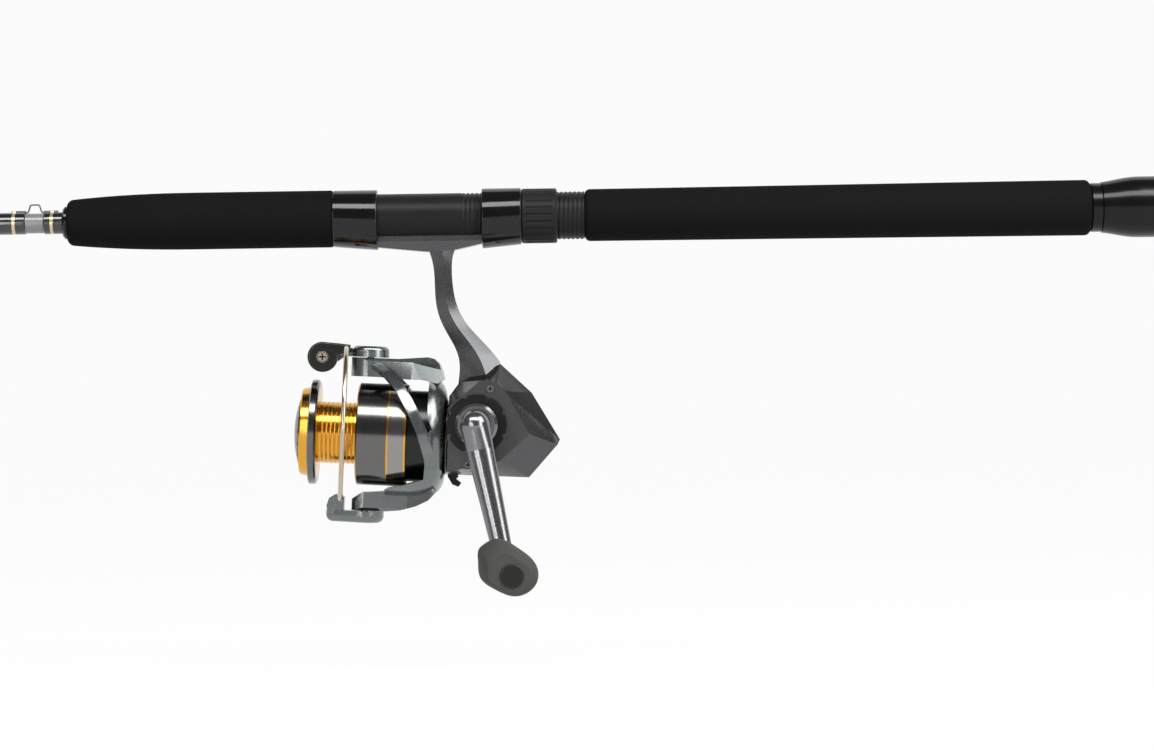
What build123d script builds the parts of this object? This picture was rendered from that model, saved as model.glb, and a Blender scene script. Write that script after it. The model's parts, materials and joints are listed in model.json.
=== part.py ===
from build123d import *
import os
from math import cos, pi, radians, sin, sqrt

os.makedirs("parts", exist_ok=True)

# Rod, along +X from the butt end face, in millimetres
ROD_LENGTH = 1676.4
BLANK_R = 4.5
TIP_R = 1.1
TAPER_START = 530.0
BUTT_L, BUTT_R, BUTT_NECK_R = 28.8, 13.7, 11.4
BUTT_FACE_R, BUTT_NOSE_L, BUTT_LAND_L, BUTT_WALL = 9.5, 5.5, 6.5, 3.0
RING_L, RING_R = 5.2, 11.0
REAR_GRIP_L, REAR_GRIP_R, REAR_GRIP_FRONT_R = 227.2, 12.5, 11.7
GRIP_ROUND = 2.5
FOREGRIP_L, FOREGRIP_R, FOREGRIP_NOSE_R, FOREGRIP_TAPER_L = 119.5, 12.8, 10.4, 58.0
FOREGRIP_ROUND = 3.0
CHECK_L, CHECK_R = 1.8, 7.4

# Reel seat: barrel, arbors, two hoods and the lock nut
SEAT_L, SEAT_R, SEAT_BORE_R = 113.0, 10.8, 8.2
ARBOR_L, ARBOR_COUNT = 22.0, 3
NUT_L, NUT_R, NUT_FLUTES, FLUTE_R = 15.9, 12.3, 24, 0.75
HOOD_L, HOOD_R, HOOD_FLARE = 17.7, 12.7, 1.7
FRONT_HOOD_L = 20.0
SEAT_CLEARANCE = 0.08
HOOD_GAP = 0.1
POCKET_CLEARANCE = 0.15

# Hook keeper and thread wraps
WRAP_T = 0.45
KEEPER_WIRE_R, KEEPER_L, KEEPER_H, KEEPER_FOOT_L = 0.35, 6.0, 3.4, 7.5
KEEPER_BEND_R, KEEPER_BED = 0.9, 0.06
REAR_WRAP_L, FRONT_WRAP_L = 9.9, 15.0

# Guides: distance from the tip, ring size, ring height below the blank axis
GUIDES = [
    (850.0, 25.0, 34.0),
    (600.0, 16.0, 22.0),
    (400.0, 12.0, 15.5),
    (240.0, 10.0, 12.0),
    (110.0, 8.0, 9.5),
]
RING_WALL_SHARE, RING_WIDTH = 0.24, 2.2
GUIDE_RIM_T, GUIDE_LEG_R = 0.8, 0.8
GUIDE_FOOT_T, GUIDE_FOOT_W, GUIDE_FOOT_L = 0.9, 2.4, 13.0
GUIDE_WRAP_T, GUIDE_WRAP_TAPER = 1.5, 3.0
TIP_TUBE_L, TIP_TUBE_T, TIP_RING_SIZE, TIP_RING_DROP = 12.0, 0.4, 8.0, 5.6

# Reel foot and stem
FOOT_L, FOOT_W, FOOT_IN_HOOD, TAIL_IN_HOOD = 65.0, 13.6, 10.0, 8.1
FOOT_TAIL_T, FOOT_NOSE_T, FOOT_MID_T, FOOT_EDGE = 1.0, 1.5, 4.7, 2.2
STEM_T, STEM_ROOT_T = 5.0, 8.5
REEL_SETBACK, REEL_DROP, REEL_TILT = 53.1, 99.8, 3.3

# Gear case
CASE_T, CASE_EDGE_T, COVER_LINE = 16.0, 4.0, 2.0
CRANK_RISE = 6.5
BOSS_R, BOSS_L = 16.0, 6.5
FIT = 0.05
RUN_GAP = 0.4

# Drive train
GEAR_TEETH, PINION_TEETH, GEAR_REACH = 36, 8, 12.0
GEAR_FACE, GEAR_BACK_T, TOOTH_BACKLASH = 3.0, 2.2, 0.42
SHAFT_R, CRANK_SHAFT_R = 1.3, 3.0
BEARING_R, BEARING_T = 6.5, 3.0
PINION_BEARING_R, PINION_SLEEVE_R = 6.5, 2.6

# Rotor and bail
ROTOR_R, ROTOR_WALL = 27.6, 2.1
DRUM_GAP, DRUM_WALL, DRUM_COVER = 1.2, 1.8, 10.0
ARM_OUTER, ARM_W, ARM_LOW_W, ARM_RISE = 34.3, 17.0, 11.8, 1.3
STRUT_W, STRUT_T = 4.8, 3.0
BAIL_U, BAIL_GAP = 49.3, 0.3
WIRE_R, WIRE_U, WIRE_REACH, WIRE_LEAN = 1.05, 60.4, 48.0, 3.6

# Spool and drag
SKIRT_R, SKIRT_WALL, LIP_R, SPOOL_ARBOR_R = 22.95, 1.3, 23.5, 13.6
SKIRT_REAR, SKIRT_FRONT, LIP_U, SPOOL_FRONT, RIM_R = 31.2, 53.6, 71.6, 79.0, 19.4
WELL_U, WASHER_R, WASHER_T, WASHER_COUNT = 66.0, 10.6, 1.2, 3
DRAG_KNOB_R, KNOB_FRONT = 15.0, 81.9
SHAFT_REAR, SHAFT_FRONT, SLIDER_U, SLIDER_L = -16.0, 79.0, -11.0, 5.0

# Crank and knob
COLLAR_R, HUB_R, HUB_L = 13.4, 9.5, 3.2
NECK_R, CRANK_ROOT_W, CRANK_ROOT_T, CRANK_TIP_W, CRANK_TIP_T = 6.6, 12.0, 8.4, 8.8, 6.4
CRANK_CLEARANCE = 1.0
SPINDLE_U, SPINDLE_W, SPINDLE_R, SPINDLE_BOSS_R, KNOB_L = -15.4, -50.6, 2.0, 4.6, 20.0
CAP_U, CAP_W, KNOB_CAP_R = -19.5, -56.7, 5.1

# Stations along the rod
X_RING = BUTT_L
X_GRIP = X_RING + RING_L
X_SEAT = X_GRIP + REAR_GRIP_L
X_FORE = X_SEAT + SEAT_L
X_CHECK = X_FORE + FOREGRIP_L
X_WRAP = X_CHECK + CHECK_L
X_FRONT_HOOD = X_FORE - FRONT_HOOD_L
X_KEEPER = X_WRAP + REAR_WRAP_L
X_FOOT_NOSE = X_FRONT_HOOD + FOOT_IN_HOOD
X_FOOT_TAIL = X_FOOT_NOSE - FOOT_L
X_HOOD = X_FOOT_TAIL + TAIL_IN_HOOD - HOOD_L
X_NUT = X_HOOD - HOOD_GAP - NUT_L


def blank_r(x):
    """Blank radius at a distance from the butt."""
    run = max(0.0, x - TAPER_START) / (ROD_LENGTH - TAPER_START)
    return BLANK_R + (TIP_R - BLANK_R) * run


def outline(plane, *points):
    """Closed straight-edged profile on a plane."""
    with BuildSketch(plane) as profile:
        with BuildLine():
            Polyline(*points, close=True)
        make_face()
    return profile.sketch


def save(piece, name):
    """Label a finished piece and write it to its own file."""
    piece.part.label = name
    export_step(piece.part, f"parts/{name}.step")


# Blank: parallel through the handle, then an even taper to the tip
with BuildPart() as blank:
    revolve(
        outline(
            Plane.XZ,
            (BUTT_WALL, 0),
            (BUTT_WALL, BLANK_R),
            (TAPER_START, BLANK_R),
            (ROD_LENGTH - 1.0, TIP_R),
            (ROD_LENGTH - 1.0, 0),
        ),
        axis=Axis.X,
    )
save(blank, "blank")

# Butt cap: rounded end, short parallel land, waisted neck
with BuildPart() as butt_cap:
    with BuildSketch(Plane.XZ):
        with BuildLine():
            land_end = BUTT_NOSE_L + BUTT_LAND_L
            Line((0, 0), (0, BUTT_FACE_R))
            RadiusArc((0, BUTT_FACE_R), (BUTT_NOSE_L, BUTT_R), 5.2)
            Line((BUTT_NOSE_L, BUTT_R), (land_end, BUTT_R))
            Spline(
                (land_end, BUTT_R),
                (BUTT_L, BUTT_NECK_R),
                tangents=[(1, 0), (1, -0.12)],
            )
            Line((BUTT_L, BUTT_NECK_R), (BUTT_L, BLANK_R))
            Line((BUTT_L, BLANK_R), (BUTT_WALL, BLANK_R))
            Line((BUTT_WALL, BLANK_R), (BUTT_WALL, 0))
            Line((BUTT_WALL, 0), (0, 0))
        make_face()
    revolve(axis=Axis.X)
save(butt_cap, "butt_cap")

# Trim ring between the cap and the rear grip
with BuildPart() as butt_ring:
    with BuildSketch(Plane.YZ.offset(X_RING)):
        Circle(RING_R)
        Circle(BLANK_R, mode=Mode.SUBTRACT)
    extrude(amount=RING_L)
    chamfer(butt_ring.edges().filter_by(GeomType.CIRCLE).group_by(SortBy.RADIUS)[-1], 0.5)
save(butt_ring, "butt_ring")

# Rear grip: long foam tube with a slight taper and rounded ends
with BuildPart() as rear_grip:
    revolve(
        outline(
            Plane.XZ,
            (X_GRIP, BLANK_R),
            (X_GRIP, REAR_GRIP_R),
            (X_SEAT, REAR_GRIP_FRONT_R),
            (X_SEAT, BLANK_R),
        ),
        axis=Axis.X,
    )
    fillet(rear_grip.edges().filter_by(GeomType.CIRCLE).sort_by(SortBy.RADIUS)[-2:], GRIP_ROUND)
save(rear_grip, "rear_grip")

# Foregrip: parallel at the seat, drawn in to a rounded nose
with BuildPart() as foregrip:
    with BuildSketch(Plane.XZ):
        with BuildLine():
            nose = X_CHECK - FOREGRIP_ROUND
            Line((X_FORE, BLANK_R), (X_FORE, FOREGRIP_R))
            Line((X_FORE, FOREGRIP_R), (X_CHECK - FOREGRIP_TAPER_L, FOREGRIP_R))
            Spline(
                (X_CHECK - FOREGRIP_TAPER_L, FOREGRIP_R),
                (nose, FOREGRIP_NOSE_R),
                tangents=[(1, 0), (1, -0.1)],
            )
            RadiusArc((nose, FOREGRIP_NOSE_R), (X_CHECK, FOREGRIP_NOSE_R - FOREGRIP_ROUND), FOREGRIP_ROUND)
            Line((X_CHECK, FOREGRIP_NOSE_R - FOREGRIP_ROUND), (X_CHECK, BLANK_R))
            Line((X_CHECK, BLANK_R), (X_FORE, BLANK_R))
        make_face()
    revolve(axis=Axis.X)
    fillet(foregrip.edges().group_by(Axis.X)[0].sort_by(SortBy.RADIUS)[-1], 1.0)
save(foregrip, "foregrip")

# Winding check: thin collar against the grip nose
with BuildPart() as winding_check:
    with BuildSketch(Plane.YZ.offset(X_CHECK)):
        Circle(CHECK_R)
        Circle(BLANK_R, mode=Mode.SUBTRACT)
    extrude(amount=CHECK_L)
    rims = winding_check.edges().filter_by(GeomType.CIRCLE).group_by(SortBy.RADIUS)[-1]
    chamfer(rims.sort_by(Axis.X)[-1], 0.8)
save(winding_check, "winding_check")

# Seat barrel: tube under both hoods, its rear part carries the thread
with BuildPart() as seat_barrel:
    with BuildSketch(Plane.YZ.offset(X_SEAT)):
        Circle(SEAT_R)
        Circle(SEAT_BORE_R, mode=Mode.SUBTRACT)
    extrude(amount=SEAT_L)
save(seat_barrel, "seat_barrel")

# Arbors: bushings that fill the space between blank and barrel
with BuildPart() as seat_arbors:
    for index in range(ARBOR_COUNT):
        with BuildSketch(Plane.YZ.offset(X_SEAT + index * (SEAT_L - ARBOR_L) / (ARBOR_COUNT - 1))):
            Circle(SEAT_BORE_R)
            Circle(BLANK_R, mode=Mode.SUBTRACT)
        extrude(amount=ARBOR_L)
save(seat_arbors, "seat_arbors")

# Front hood: fixed collar whose underside flares over the nose of the reel foot
with BuildPart() as front_hood:
    with BuildSketch(Plane.YZ.offset(X_FORE)):
        Circle(HOOD_R)
    with BuildSketch(Plane.YZ.offset(X_FRONT_HOOD)):
        with Locations((0, -HOOD_FLARE / 2)):
            Circle(HOOD_R + HOOD_FLARE / 2)
    loft()
    fillet(front_hood.edges().filter_by(GeomType.CIRCLE), 0.6)
    with BuildSketch(Plane.YZ.offset(X_FRONT_HOOD)):
        Circle(SEAT_R)
    extrude(amount=FRONT_HOOD_L, mode=Mode.SUBTRACT)
    with BuildSketch(Plane.XZ.offset(-FOOT_W / 2 - POCKET_CLEARANCE)):
        with BuildLine():
            Polyline(
                (X_FRONT_HOOD, 0),
                (X_FOOT_NOSE + POCKET_CLEARANCE, 0),
                (X_FOOT_NOSE + POCKET_CLEARANCE, -SEAT_R - FOOT_NOSE_T - POCKET_CLEARANCE),
                (X_FRONT_HOOD, -SEAT_R - FOOT_NOSE_T - 0.9 - POCKET_CLEARANCE),
                close=True,
            )
        make_face()
    extrude(amount=FOOT_W + 2 * POCKET_CLEARANCE, mode=Mode.SUBTRACT)
save(front_hood, "front_hood")

# Sliding hood: the same form turned round, running on the barrel
with BuildPart() as sliding_hood:
    with BuildSketch(Plane.YZ.offset(X_HOOD)):
        Circle(HOOD_R)
    with BuildSketch(Plane.YZ.offset(X_HOOD + HOOD_L)):
        with Locations((0, -HOOD_FLARE / 2)):
            Circle(HOOD_R + HOOD_FLARE / 2)
    loft()
    fillet(sliding_hood.edges().filter_by(GeomType.CIRCLE), 0.6)
    with BuildSketch(Plane.YZ.offset(X_HOOD)):
        Circle(SEAT_R + SEAT_CLEARANCE)
    extrude(amount=HOOD_L, mode=Mode.SUBTRACT)
    with BuildSketch(Plane.XZ.offset(-FOOT_W / 2 - POCKET_CLEARANCE)):
        with BuildLine():
            Polyline(
                (X_FOOT_TAIL - POCKET_CLEARANCE, 0),
                (X_HOOD + HOOD_L, 0),
                (X_HOOD + HOOD_L, -SEAT_R - FOOT_TAIL_T - 0.6 - POCKET_CLEARANCE),
                (X_FOOT_TAIL - POCKET_CLEARANCE, -SEAT_R - FOOT_TAIL_T - POCKET_CLEARANCE),
                close=True,
            )
        make_face()
    extrude(amount=FOOT_W + 2 * POCKET_CLEARANCE, mode=Mode.SUBTRACT)
save(sliding_hood, "sliding_hood")

# Lock nut: fluted ring that drives the sliding hood along the thread
with BuildPart() as lock_nut:
    with BuildSketch(Plane.YZ.offset(X_NUT)):
        Circle(NUT_R)
        Circle(SEAT_R + SEAT_CLEARANCE, mode=Mode.SUBTRACT)
    extrude(amount=NUT_L)
    chamfer(lock_nut.edges().filter_by(GeomType.CIRCLE).group_by(SortBy.RADIUS)[-1], 0.6)
    with BuildSketch(Plane.YZ.offset(X_NUT + 2)):
        with PolarLocations(NUT_R + FLUTE_R / 3, NUT_FLUTES):
            Circle(FLUTE_R)
    extrude(amount=NUT_L - 4, mode=Mode.SUBTRACT)
save(lock_nut, "lock_nut")

# Hook keeper: bent wire loop on top of the blank, its feet under two thread wraps
keeper_z = BLANK_R + KEEPER_WIRE_R + KEEPER_BED
keeper_end = X_KEEPER + KEEPER_L
with BuildPart() as hook_keeper:
    with BuildLine(Plane.XZ) as keeper_path:
        FilletPolyline(
            (X_KEEPER - KEEPER_FOOT_L, keeper_z),
            (X_KEEPER, keeper_z),
            (X_KEEPER + 1.0, keeper_z + KEEPER_H),
            (keeper_end - 1.0, keeper_z + KEEPER_H),
            (keeper_end, keeper_z),
            (keeper_end + KEEPER_FOOT_L, keeper_z),
            radius=KEEPER_BEND_R,
        )
    with BuildSketch(Plane(origin=keeper_path.line @ 0, z_dir=keeper_path.line % 0)):
        Circle(KEEPER_WIRE_R)
    sweep(path=keeper_path.line)
save(hook_keeper, "hook_keeper")

# Thread wraps over the keeper feet, raised where the wire lies beneath
with BuildPart() as keeper_wraps:
    for start, length, bump in (
        (X_WRAP, REAR_WRAP_L - 1.0, X_KEEPER - KEEPER_FOOT_L),
        (keeper_end + 1.0, FRONT_WRAP_L, keeper_end + 1.0),
    ):
        wrap_r = BLANK_R + WRAP_T
        revolve(
            outline(
                Plane.XZ,
                (start, BLANK_R),
                (start + WRAP_T, wrap_r),
                (start + length - WRAP_T, wrap_r),
                (start + length, BLANK_R),
            ),
            axis=Axis.X,
        )
        with BuildSketch(Plane.YZ.offset(bump)):
            with Locations((0, keeper_z)):
                Circle(KEEPER_WIRE_R + WRAP_T)
        extrude(amount=KEEPER_FOOT_L - 1.0)
    with BuildSketch(Plane.YZ.offset(X_WRAP)):
        Circle(BLANK_R)
    extrude(amount=keeper_end + FRONT_WRAP_L - X_WRAP + 2, mode=Mode.SUBTRACT)
    add(hook_keeper.part, mode=Mode.SUBTRACT)
save(keeper_wraps, "keeper_wraps")

# Guides: rim that holds the ring, two legs and a foot that lies on the blank
guide_frames = []
for number, (from_tip, size, drop) in enumerate(GUIDES, start=1):
    x = ROD_LENGTH - from_tip
    double = number == 1
    leg_run = 0.62 * (drop - BLANK_R)
    rim_r = size / 2 + GUIDE_RIM_T
    reach = leg_run + RING_WIDTH + 1.5 * GUIDE_FOOT_L
    with BuildPart() as guide:
        with BuildSketch(Plane.YZ.offset(x - RING_WIDTH / 2)):
            with Locations((0, -drop)):
                Circle(rim_r)
        extrude(amount=RING_WIDTH)
        for way in (1, -1) if double else (1,):
            foot_x = x + way * (leg_run + RING_WIDTH)
            foot_r = blank_r(min(foot_x, foot_x + way * GUIDE_FOOT_L))
            foot_z = -foot_r - GUIDE_FOOT_T / 2
            for lean in (1, -1):
                start = Vector(x, lean * 0.72 * rim_r, -drop + 0.66 * rim_r)
                end = Vector(foot_x + way * 2.0, lean * 0.35, foot_z)
                with BuildSketch(Plane(origin=start, z_dir=end - start)):
                    Circle(GUIDE_LEG_R)
                extrude(amount=(end - start).length)
            with BuildSketch(Plane.XY.offset(-foot_r - GUIDE_FOOT_T)):
                with BuildLine():
                    Polyline(
                        (foot_x, -GUIDE_FOOT_W / 2),
                        (foot_x + way * GUIDE_FOOT_L * 0.6, -GUIDE_FOOT_W / 2),
                        (foot_x + way * GUIDE_FOOT_L, -0.5),
                        (foot_x + way * GUIDE_FOOT_L, 0.5),
                        (foot_x + way * GUIDE_FOOT_L * 0.6, GUIDE_FOOT_W / 2),
                        (foot_x, GUIDE_FOOT_W / 2),
                        close=True,
                    )
                make_face()
            extrude(amount=GUIDE_FOOT_T)
        with BuildSketch(Plane.YZ.offset(x - 2 * RING_WIDTH)):
            with Locations((0, -drop)):
                Circle(size / 2)
        extrude(amount=4 * RING_WIDTH, mode=Mode.SUBTRACT)
        revolve(
            outline(
                Plane.XZ,
                (x - reach, 0),
                (x - reach, blank_r(x - reach)),
                (x + reach, blank_r(x + reach)),
                (x + reach, 0),
            ),
            axis=Axis.X,
            mode=Mode.SUBTRACT,
        )
    guide_frames.append(guide.part)
    save(guide, f"guide_{number}")

# Guide rings: rounded ceramic inserts, one in each rim and one in the tip top
tip_z = -TIP_RING_DROP
rings = [(ROD_LENGTH - f, s, -d) for f, s, d in GUIDES] + [(ROD_LENGTH - 1.4, TIP_RING_SIZE, tip_z)]
with BuildPart() as guide_rings:
    for x, size, z in rings:
        wall = size * RING_WALL_SHARE / 2
        with BuildSketch(Plane.YZ.offset(x - RING_WIDTH / 2)):
            with Locations((0, z)):
                Circle(size / 2)
                Circle(size / 2 - wall, mode=Mode.SUBTRACT)
        extrude(amount=RING_WIDTH)
    inner_edges = guide_rings.edges().filter_by(
        lambda e: e.geom_type == GeomType.CIRCLE
        and min(abs(e.radius - s * (1 - RING_WALL_SHARE) / 2) for _, s, _ in rings) < 0.001
    )
    fillet(inner_edges, 0.8)
save(guide_rings, "guide_rings")

# Guide wraps: thread over each guide foot, tapered at both ends
with BuildPart() as guide_wraps:
    for number, (from_tip, size, drop) in enumerate(GUIDES, start=1):
        x = ROD_LENGTH - from_tip
        leg_run = 0.62 * (drop - BLANK_R)
        for way in (1, -1) if number == 1 else (1,):
            near = x + way * (leg_run + RING_WIDTH + 4.0)
            far = near + way * GUIDE_FOOT_L
            taper = way * GUIDE_WRAP_TAPER
            revolve(
                outline(
                    Plane.XZ,
                    (near, blank_r(near)),
                    (near + taper, blank_r(near + taper) + GUIDE_WRAP_T),
                    (far - taper, blank_r(far - taper) + GUIDE_WRAP_T),
                    (far, blank_r(far)),
                ),
                axis=Axis.X,
            )
    for frame in guide_frames:
        add(frame, mode=Mode.SUBTRACT)
save(guide_wraps, "guide_wraps")

# Tip top: tube over the blank end with a rim for the last ring
with BuildPart() as tip_top:
    tube_start = ROD_LENGTH - 1.0 - TIP_TUBE_L
    with BuildSketch(Plane.YZ.offset(tube_start)):
        Circle(blank_r(tube_start) + TIP_TUBE_T)
    extrude(amount=TIP_TUBE_L + 0.6)
    with BuildSketch(Plane.YZ.offset(ROD_LENGTH - 1.4 - RING_WIDTH / 2)):
        with Locations((0, tip_z)):
            Circle(TIP_RING_SIZE / 2 + GUIDE_RIM_T)
    extrude(amount=RING_WIDTH)
    with BuildSketch(Plane.YZ.offset(tube_start - 1)):
        with Locations((0, tip_z)):
            Circle(TIP_RING_SIZE / 2)
    extrude(amount=TIP_TUBE_L + 6, mode=Mode.SUBTRACT)
    add(blank.part, mode=Mode.SUBTRACT)
save(tip_top, "tip_top")

# Reel frame: u forward along the spool axis, v towards the crank side, w up
LEAN = radians(REEL_TILT)
U = Vector(cos(LEAN), 0, sin(LEAN))
V = Vector(0, 1, 0)
W = Vector(-sin(LEAN), 0, cos(LEAN))
REEL_ORIGIN = Vector(X_FOOT_NOSE - REEL_SETBACK, 0, -REEL_DROP)
SPIN = Axis(REEL_ORIGIN, U)


def reel_point(u, v, w):
    """Point in the rod's frame from reel coordinates."""
    return REEL_ORIGIN + U * u + V * v + W * w


def side(v=0.0):
    """Plane seen from the crank side, local (u, w), normal to the far side."""
    return Plane(origin=reel_point(0, v, 0), x_dir=U, z_dir=-V)


def front(u=0.0):
    """Plane across the spool axis, local (v, w), normal forward."""
    return Plane(origin=reel_point(u, 0, 0), x_dir=V, z_dir=U)


def level(w=0.0):
    """Plane along the spool axis, local (u, v), normal up."""
    return Plane(origin=reel_point(0, 0, w), x_dir=U, z_dir=W)


CRANK_AXIS = Axis(reel_point(0, 0, CRANK_RISE), V)
CRANK_PLANE = level(CRANK_RISE)
CASE_FRONT = 13.2
CASE_OUTLINE = [
    (CASE_FRONT, 18.5),
    (8.8, 25.0),
    (-9.2, 34.0),
    (-23.8, 21.6),
    (-37.3, 1.3),
    (-36.4, -1.0),
    (-24.2, -16.3),
    (CASE_FRONT, -16.6),
]
CASE_PLATEAU = [
    (CASE_FRONT - 0.7, 14.3),
    (-1.0, 26.3),
    (-8.2, 26.0),
    (-12.0, 22.0),
    (-12.8, 20.8),
    (-23.6, 3.2),
    (-11.0, -9.3),
    (CASE_FRONT - 0.7, -15.2),
]
GUARD_REGION = [(-9.6, 45), (-8.4, 27.0), (-12.4, 21.4), (-38.5, -0.6), (-60, -0.6), (-60, 45)]
COVER_REGION = [
    (CASE_FRONT, 28.6),
    (-8.4, 27.0),
    (-12.4, 21.4),
    (-38.5, -0.6),
    (-60, -0.6),
    (-60, -40),
    (CASE_FRONT, -40),
]

# Gear case: faceted housing, widest at its flat sides, kept whole here and parted below
with BuildPart() as case:
    extrude(outline(side(CASE_EDGE_T), *CASE_OUTLINE), amount=2 * CASE_EDGE_T)
    for way in (1, -1):
        loft(
            [
                outline(side(way * CASE_EDGE_T), *CASE_OUTLINE),
                outline(side(way * CASE_T), *CASE_PLATEAU),
            ],
            ruled=True,
        )

GEAR_MODULE = 2 * GEAR_REACH / GEAR_TEETH
PINION_PITCH_R = GEAR_MODULE * PINION_TEETH / 2
GEAR_R = sqrt((GEAR_REACH + GEAR_FACE / 2) ** 2 + CRANK_RISE**2)
CHAMBER_R = GEAR_R + 0.7
CHAMBER_NEAR, CHAMBER_FAR = 9.5, -4.6
SCREW_SPOTS = [(-5.4, 22.8), (3.1, -11.6)]
SCREW_R, SCREW_HEAD_R, SCREW_HEAD_T = 1.2, 2.0, 1.0
RECESS_R, RECESS_DEPTH, SCREW_BITE = 2.3, 1.4, 6.0
FAR_BEARING = 9.0
LEVER_PIVOT, LEVER_T, LEVER_PIN_R, LEVER_EYE_R = (10.2, -14.6), 4.0, 0.8, 1.9
COLLAR_T = 3.6

# Reel foot: thin ends for the hoods, sloped sides, hollow to sit on the barrel
with BuildPart() as foot:
    with BuildSketch(Plane.XZ.offset(-FOOT_W / 2)):
        with BuildLine():
            Polyline(
                (X_FOOT_TAIL, 0),
                (X_FOOT_TAIL, -SEAT_R - FOOT_TAIL_T),
                (X_HOOD + HOOD_L, -SEAT_R - FOOT_TAIL_T - 0.4),
                (X_FOOT_NOSE - 44.8, -SEAT_R - FOOT_MID_T + 0.7),
                (X_FOOT_NOSE - 31.9, -SEAT_R - FOOT_MID_T),
                (X_FRONT_HOOD, -SEAT_R - FOOT_NOSE_T - 0.9),
                (X_FOOT_NOSE, -SEAT_R - FOOT_NOSE_T),
                (X_FOOT_NOSE, 0),
                close=True,
            )
        make_face()
    extrude(amount=FOOT_W)
    with BuildSketch(Plane.XY.offset(-SEAT_R - 2 * FOOT_MID_T)):
        with BuildLine():
            Polyline(
                (X_FOOT_TAIL, FOOT_W / 4),
                (X_FOOT_TAIL + FOOT_W / 2, FOOT_W / 2),
                (X_FOOT_NOSE - FOOT_W / 2, FOOT_W / 2),
                (X_FOOT_NOSE, FOOT_W / 4),
                (X_FOOT_NOSE, -FOOT_W / 4),
                (X_FOOT_NOSE - FOOT_W / 2, -FOOT_W / 2),
                (X_FOOT_TAIL + FOOT_W / 2, -FOOT_W / 2),
                (X_FOOT_TAIL, -FOOT_W / 4),
                close=True,
            )
        make_face()
    extrude(amount=SEAT_R + 2 * FOOT_MID_T, mode=Mode.INTERSECT)
    with BuildSketch(Plane.YZ.offset(X_FOOT_TAIL)):
        with BuildLine():
            Polyline(
                (-FOOT_W / 2, 0),
                (-FOOT_W / 2, -SEAT_R),
                (-FOOT_W / 2 + FOOT_EDGE, -SEAT_R - FOOT_MID_T),
                (FOOT_W / 2 - FOOT_EDGE, -SEAT_R - FOOT_MID_T),
                (FOOT_W / 2, -SEAT_R),
                (FOOT_W / 2, 0),
                close=True,
            )
        make_face()
    extrude(amount=FOOT_L, mode=Mode.INTERSECT)
    with BuildSketch(Plane.YZ.offset(X_FOOT_TAIL)):
        Circle(SEAT_R)
    extrude(amount=FOOT_L, mode=Mode.SUBTRACT)

# Reel body: foot, stem, far half of the case and the front boss inside the rotor
STEM_SECTIONS = [
    (0.135, 32.2, 45.2, STEM_T),
    (0.180, 33.8, 43.4, STEM_T - 0.3),
    (0.301, 35.2, 43.2, STEM_T - 0.4),
    (0.441, 36.8, 46.8, STEM_T),
    (0.551, 42.0, 55.2, STEM_T + 0.8),
    (0.661, 45.8, 64.3, STEM_ROOT_T - 1.2),
    (0.782, 45.6, 77.2, STEM_ROOT_T),
]
with BuildPart() as reel_body:
    for share, front_set, rear_set, half in STEM_SECTIONS:
        x_front = X_FOOT_NOSE - front_set
        x_rear = X_FOOT_NOSE - rear_set
        ridge = x_front + (x_rear - x_front) * 0.55
        with BuildSketch(Plane.XY.offset(-REEL_DROP * share)):
            with BuildLine():
                Polyline(
                    (x_front, 1.3),
                    (ridge, half),
                    (x_rear, 1.9),
                    (x_rear, -1.9),
                    (ridge, -half),
                    (x_front, -1.3),
                    close=True,
                )
            make_face()
    loft()
    add(case.part)
    add(foot.part)
    with BuildSketch(front(CASE_FRONT - 8)):
        Circle(BOSS_R)
    extrude(amount=8 + BOSS_L)
    extrude(outline(side(30), *GUARD_REGION), amount=60, mode=Mode.SUBTRACT)
    extrude(outline(side(30), *COVER_REGION), amount=30 - COVER_LINE, mode=Mode.SUBTRACT)
    # gear chamber, bearing seats and shaft bores
    with BuildSketch(side(CHAMBER_NEAR)):
        with Locations((0, CRANK_RISE)):
            Circle(CHAMBER_R)
    extrude(amount=CHAMBER_NEAR - CHAMBER_FAR, mode=Mode.SUBTRACT)
    with BuildSketch(side(0)):
        with Locations((0, CRANK_RISE)):
            Circle(BEARING_R)
    extrude(amount=FAR_BEARING + BEARING_T, mode=Mode.SUBTRACT)
    with BuildSketch(front(0)):
        Circle(PINION_BEARING_R - 1.5)
    extrude(amount=40, mode=Mode.SUBTRACT)
    with BuildSketch(front(CASE_FRONT + BOSS_L - BEARING_T)):
        Circle(PINION_BEARING_R)
    extrude(amount=10, mode=Mode.SUBTRACT)
    with BuildSketch(front(-24)):
        Circle(SHAFT_R + 0.6)
    extrude(amount=24, mode=Mode.SUBTRACT)
    # screw holes in the case and the slot of the anti-reverse lever
    with BuildSketch(side(COVER_LINE)):
        with Locations(*SCREW_SPOTS):
            Circle(SCREW_R)
    extrude(amount=SCREW_BITE, mode=Mode.SUBTRACT)
    with BuildSketch(side(LEVER_T / 2 + 0.3)):
        with BuildLine():
            Polyline((6.6, -30), (6.6, -13.2), (8.4, -11.9), (20, -11.9), (20, -30), close=True)
        make_face()
    extrude(amount=LEVER_T + 0.6, mode=Mode.SUBTRACT)
    with BuildSketch(side(LEVER_T)):
        with Locations(LEVER_PIVOT):
            Circle(LEVER_PIN_R)
    extrude(amount=2 * LEVER_T)
save(reel_body, "reel_body")

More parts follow.
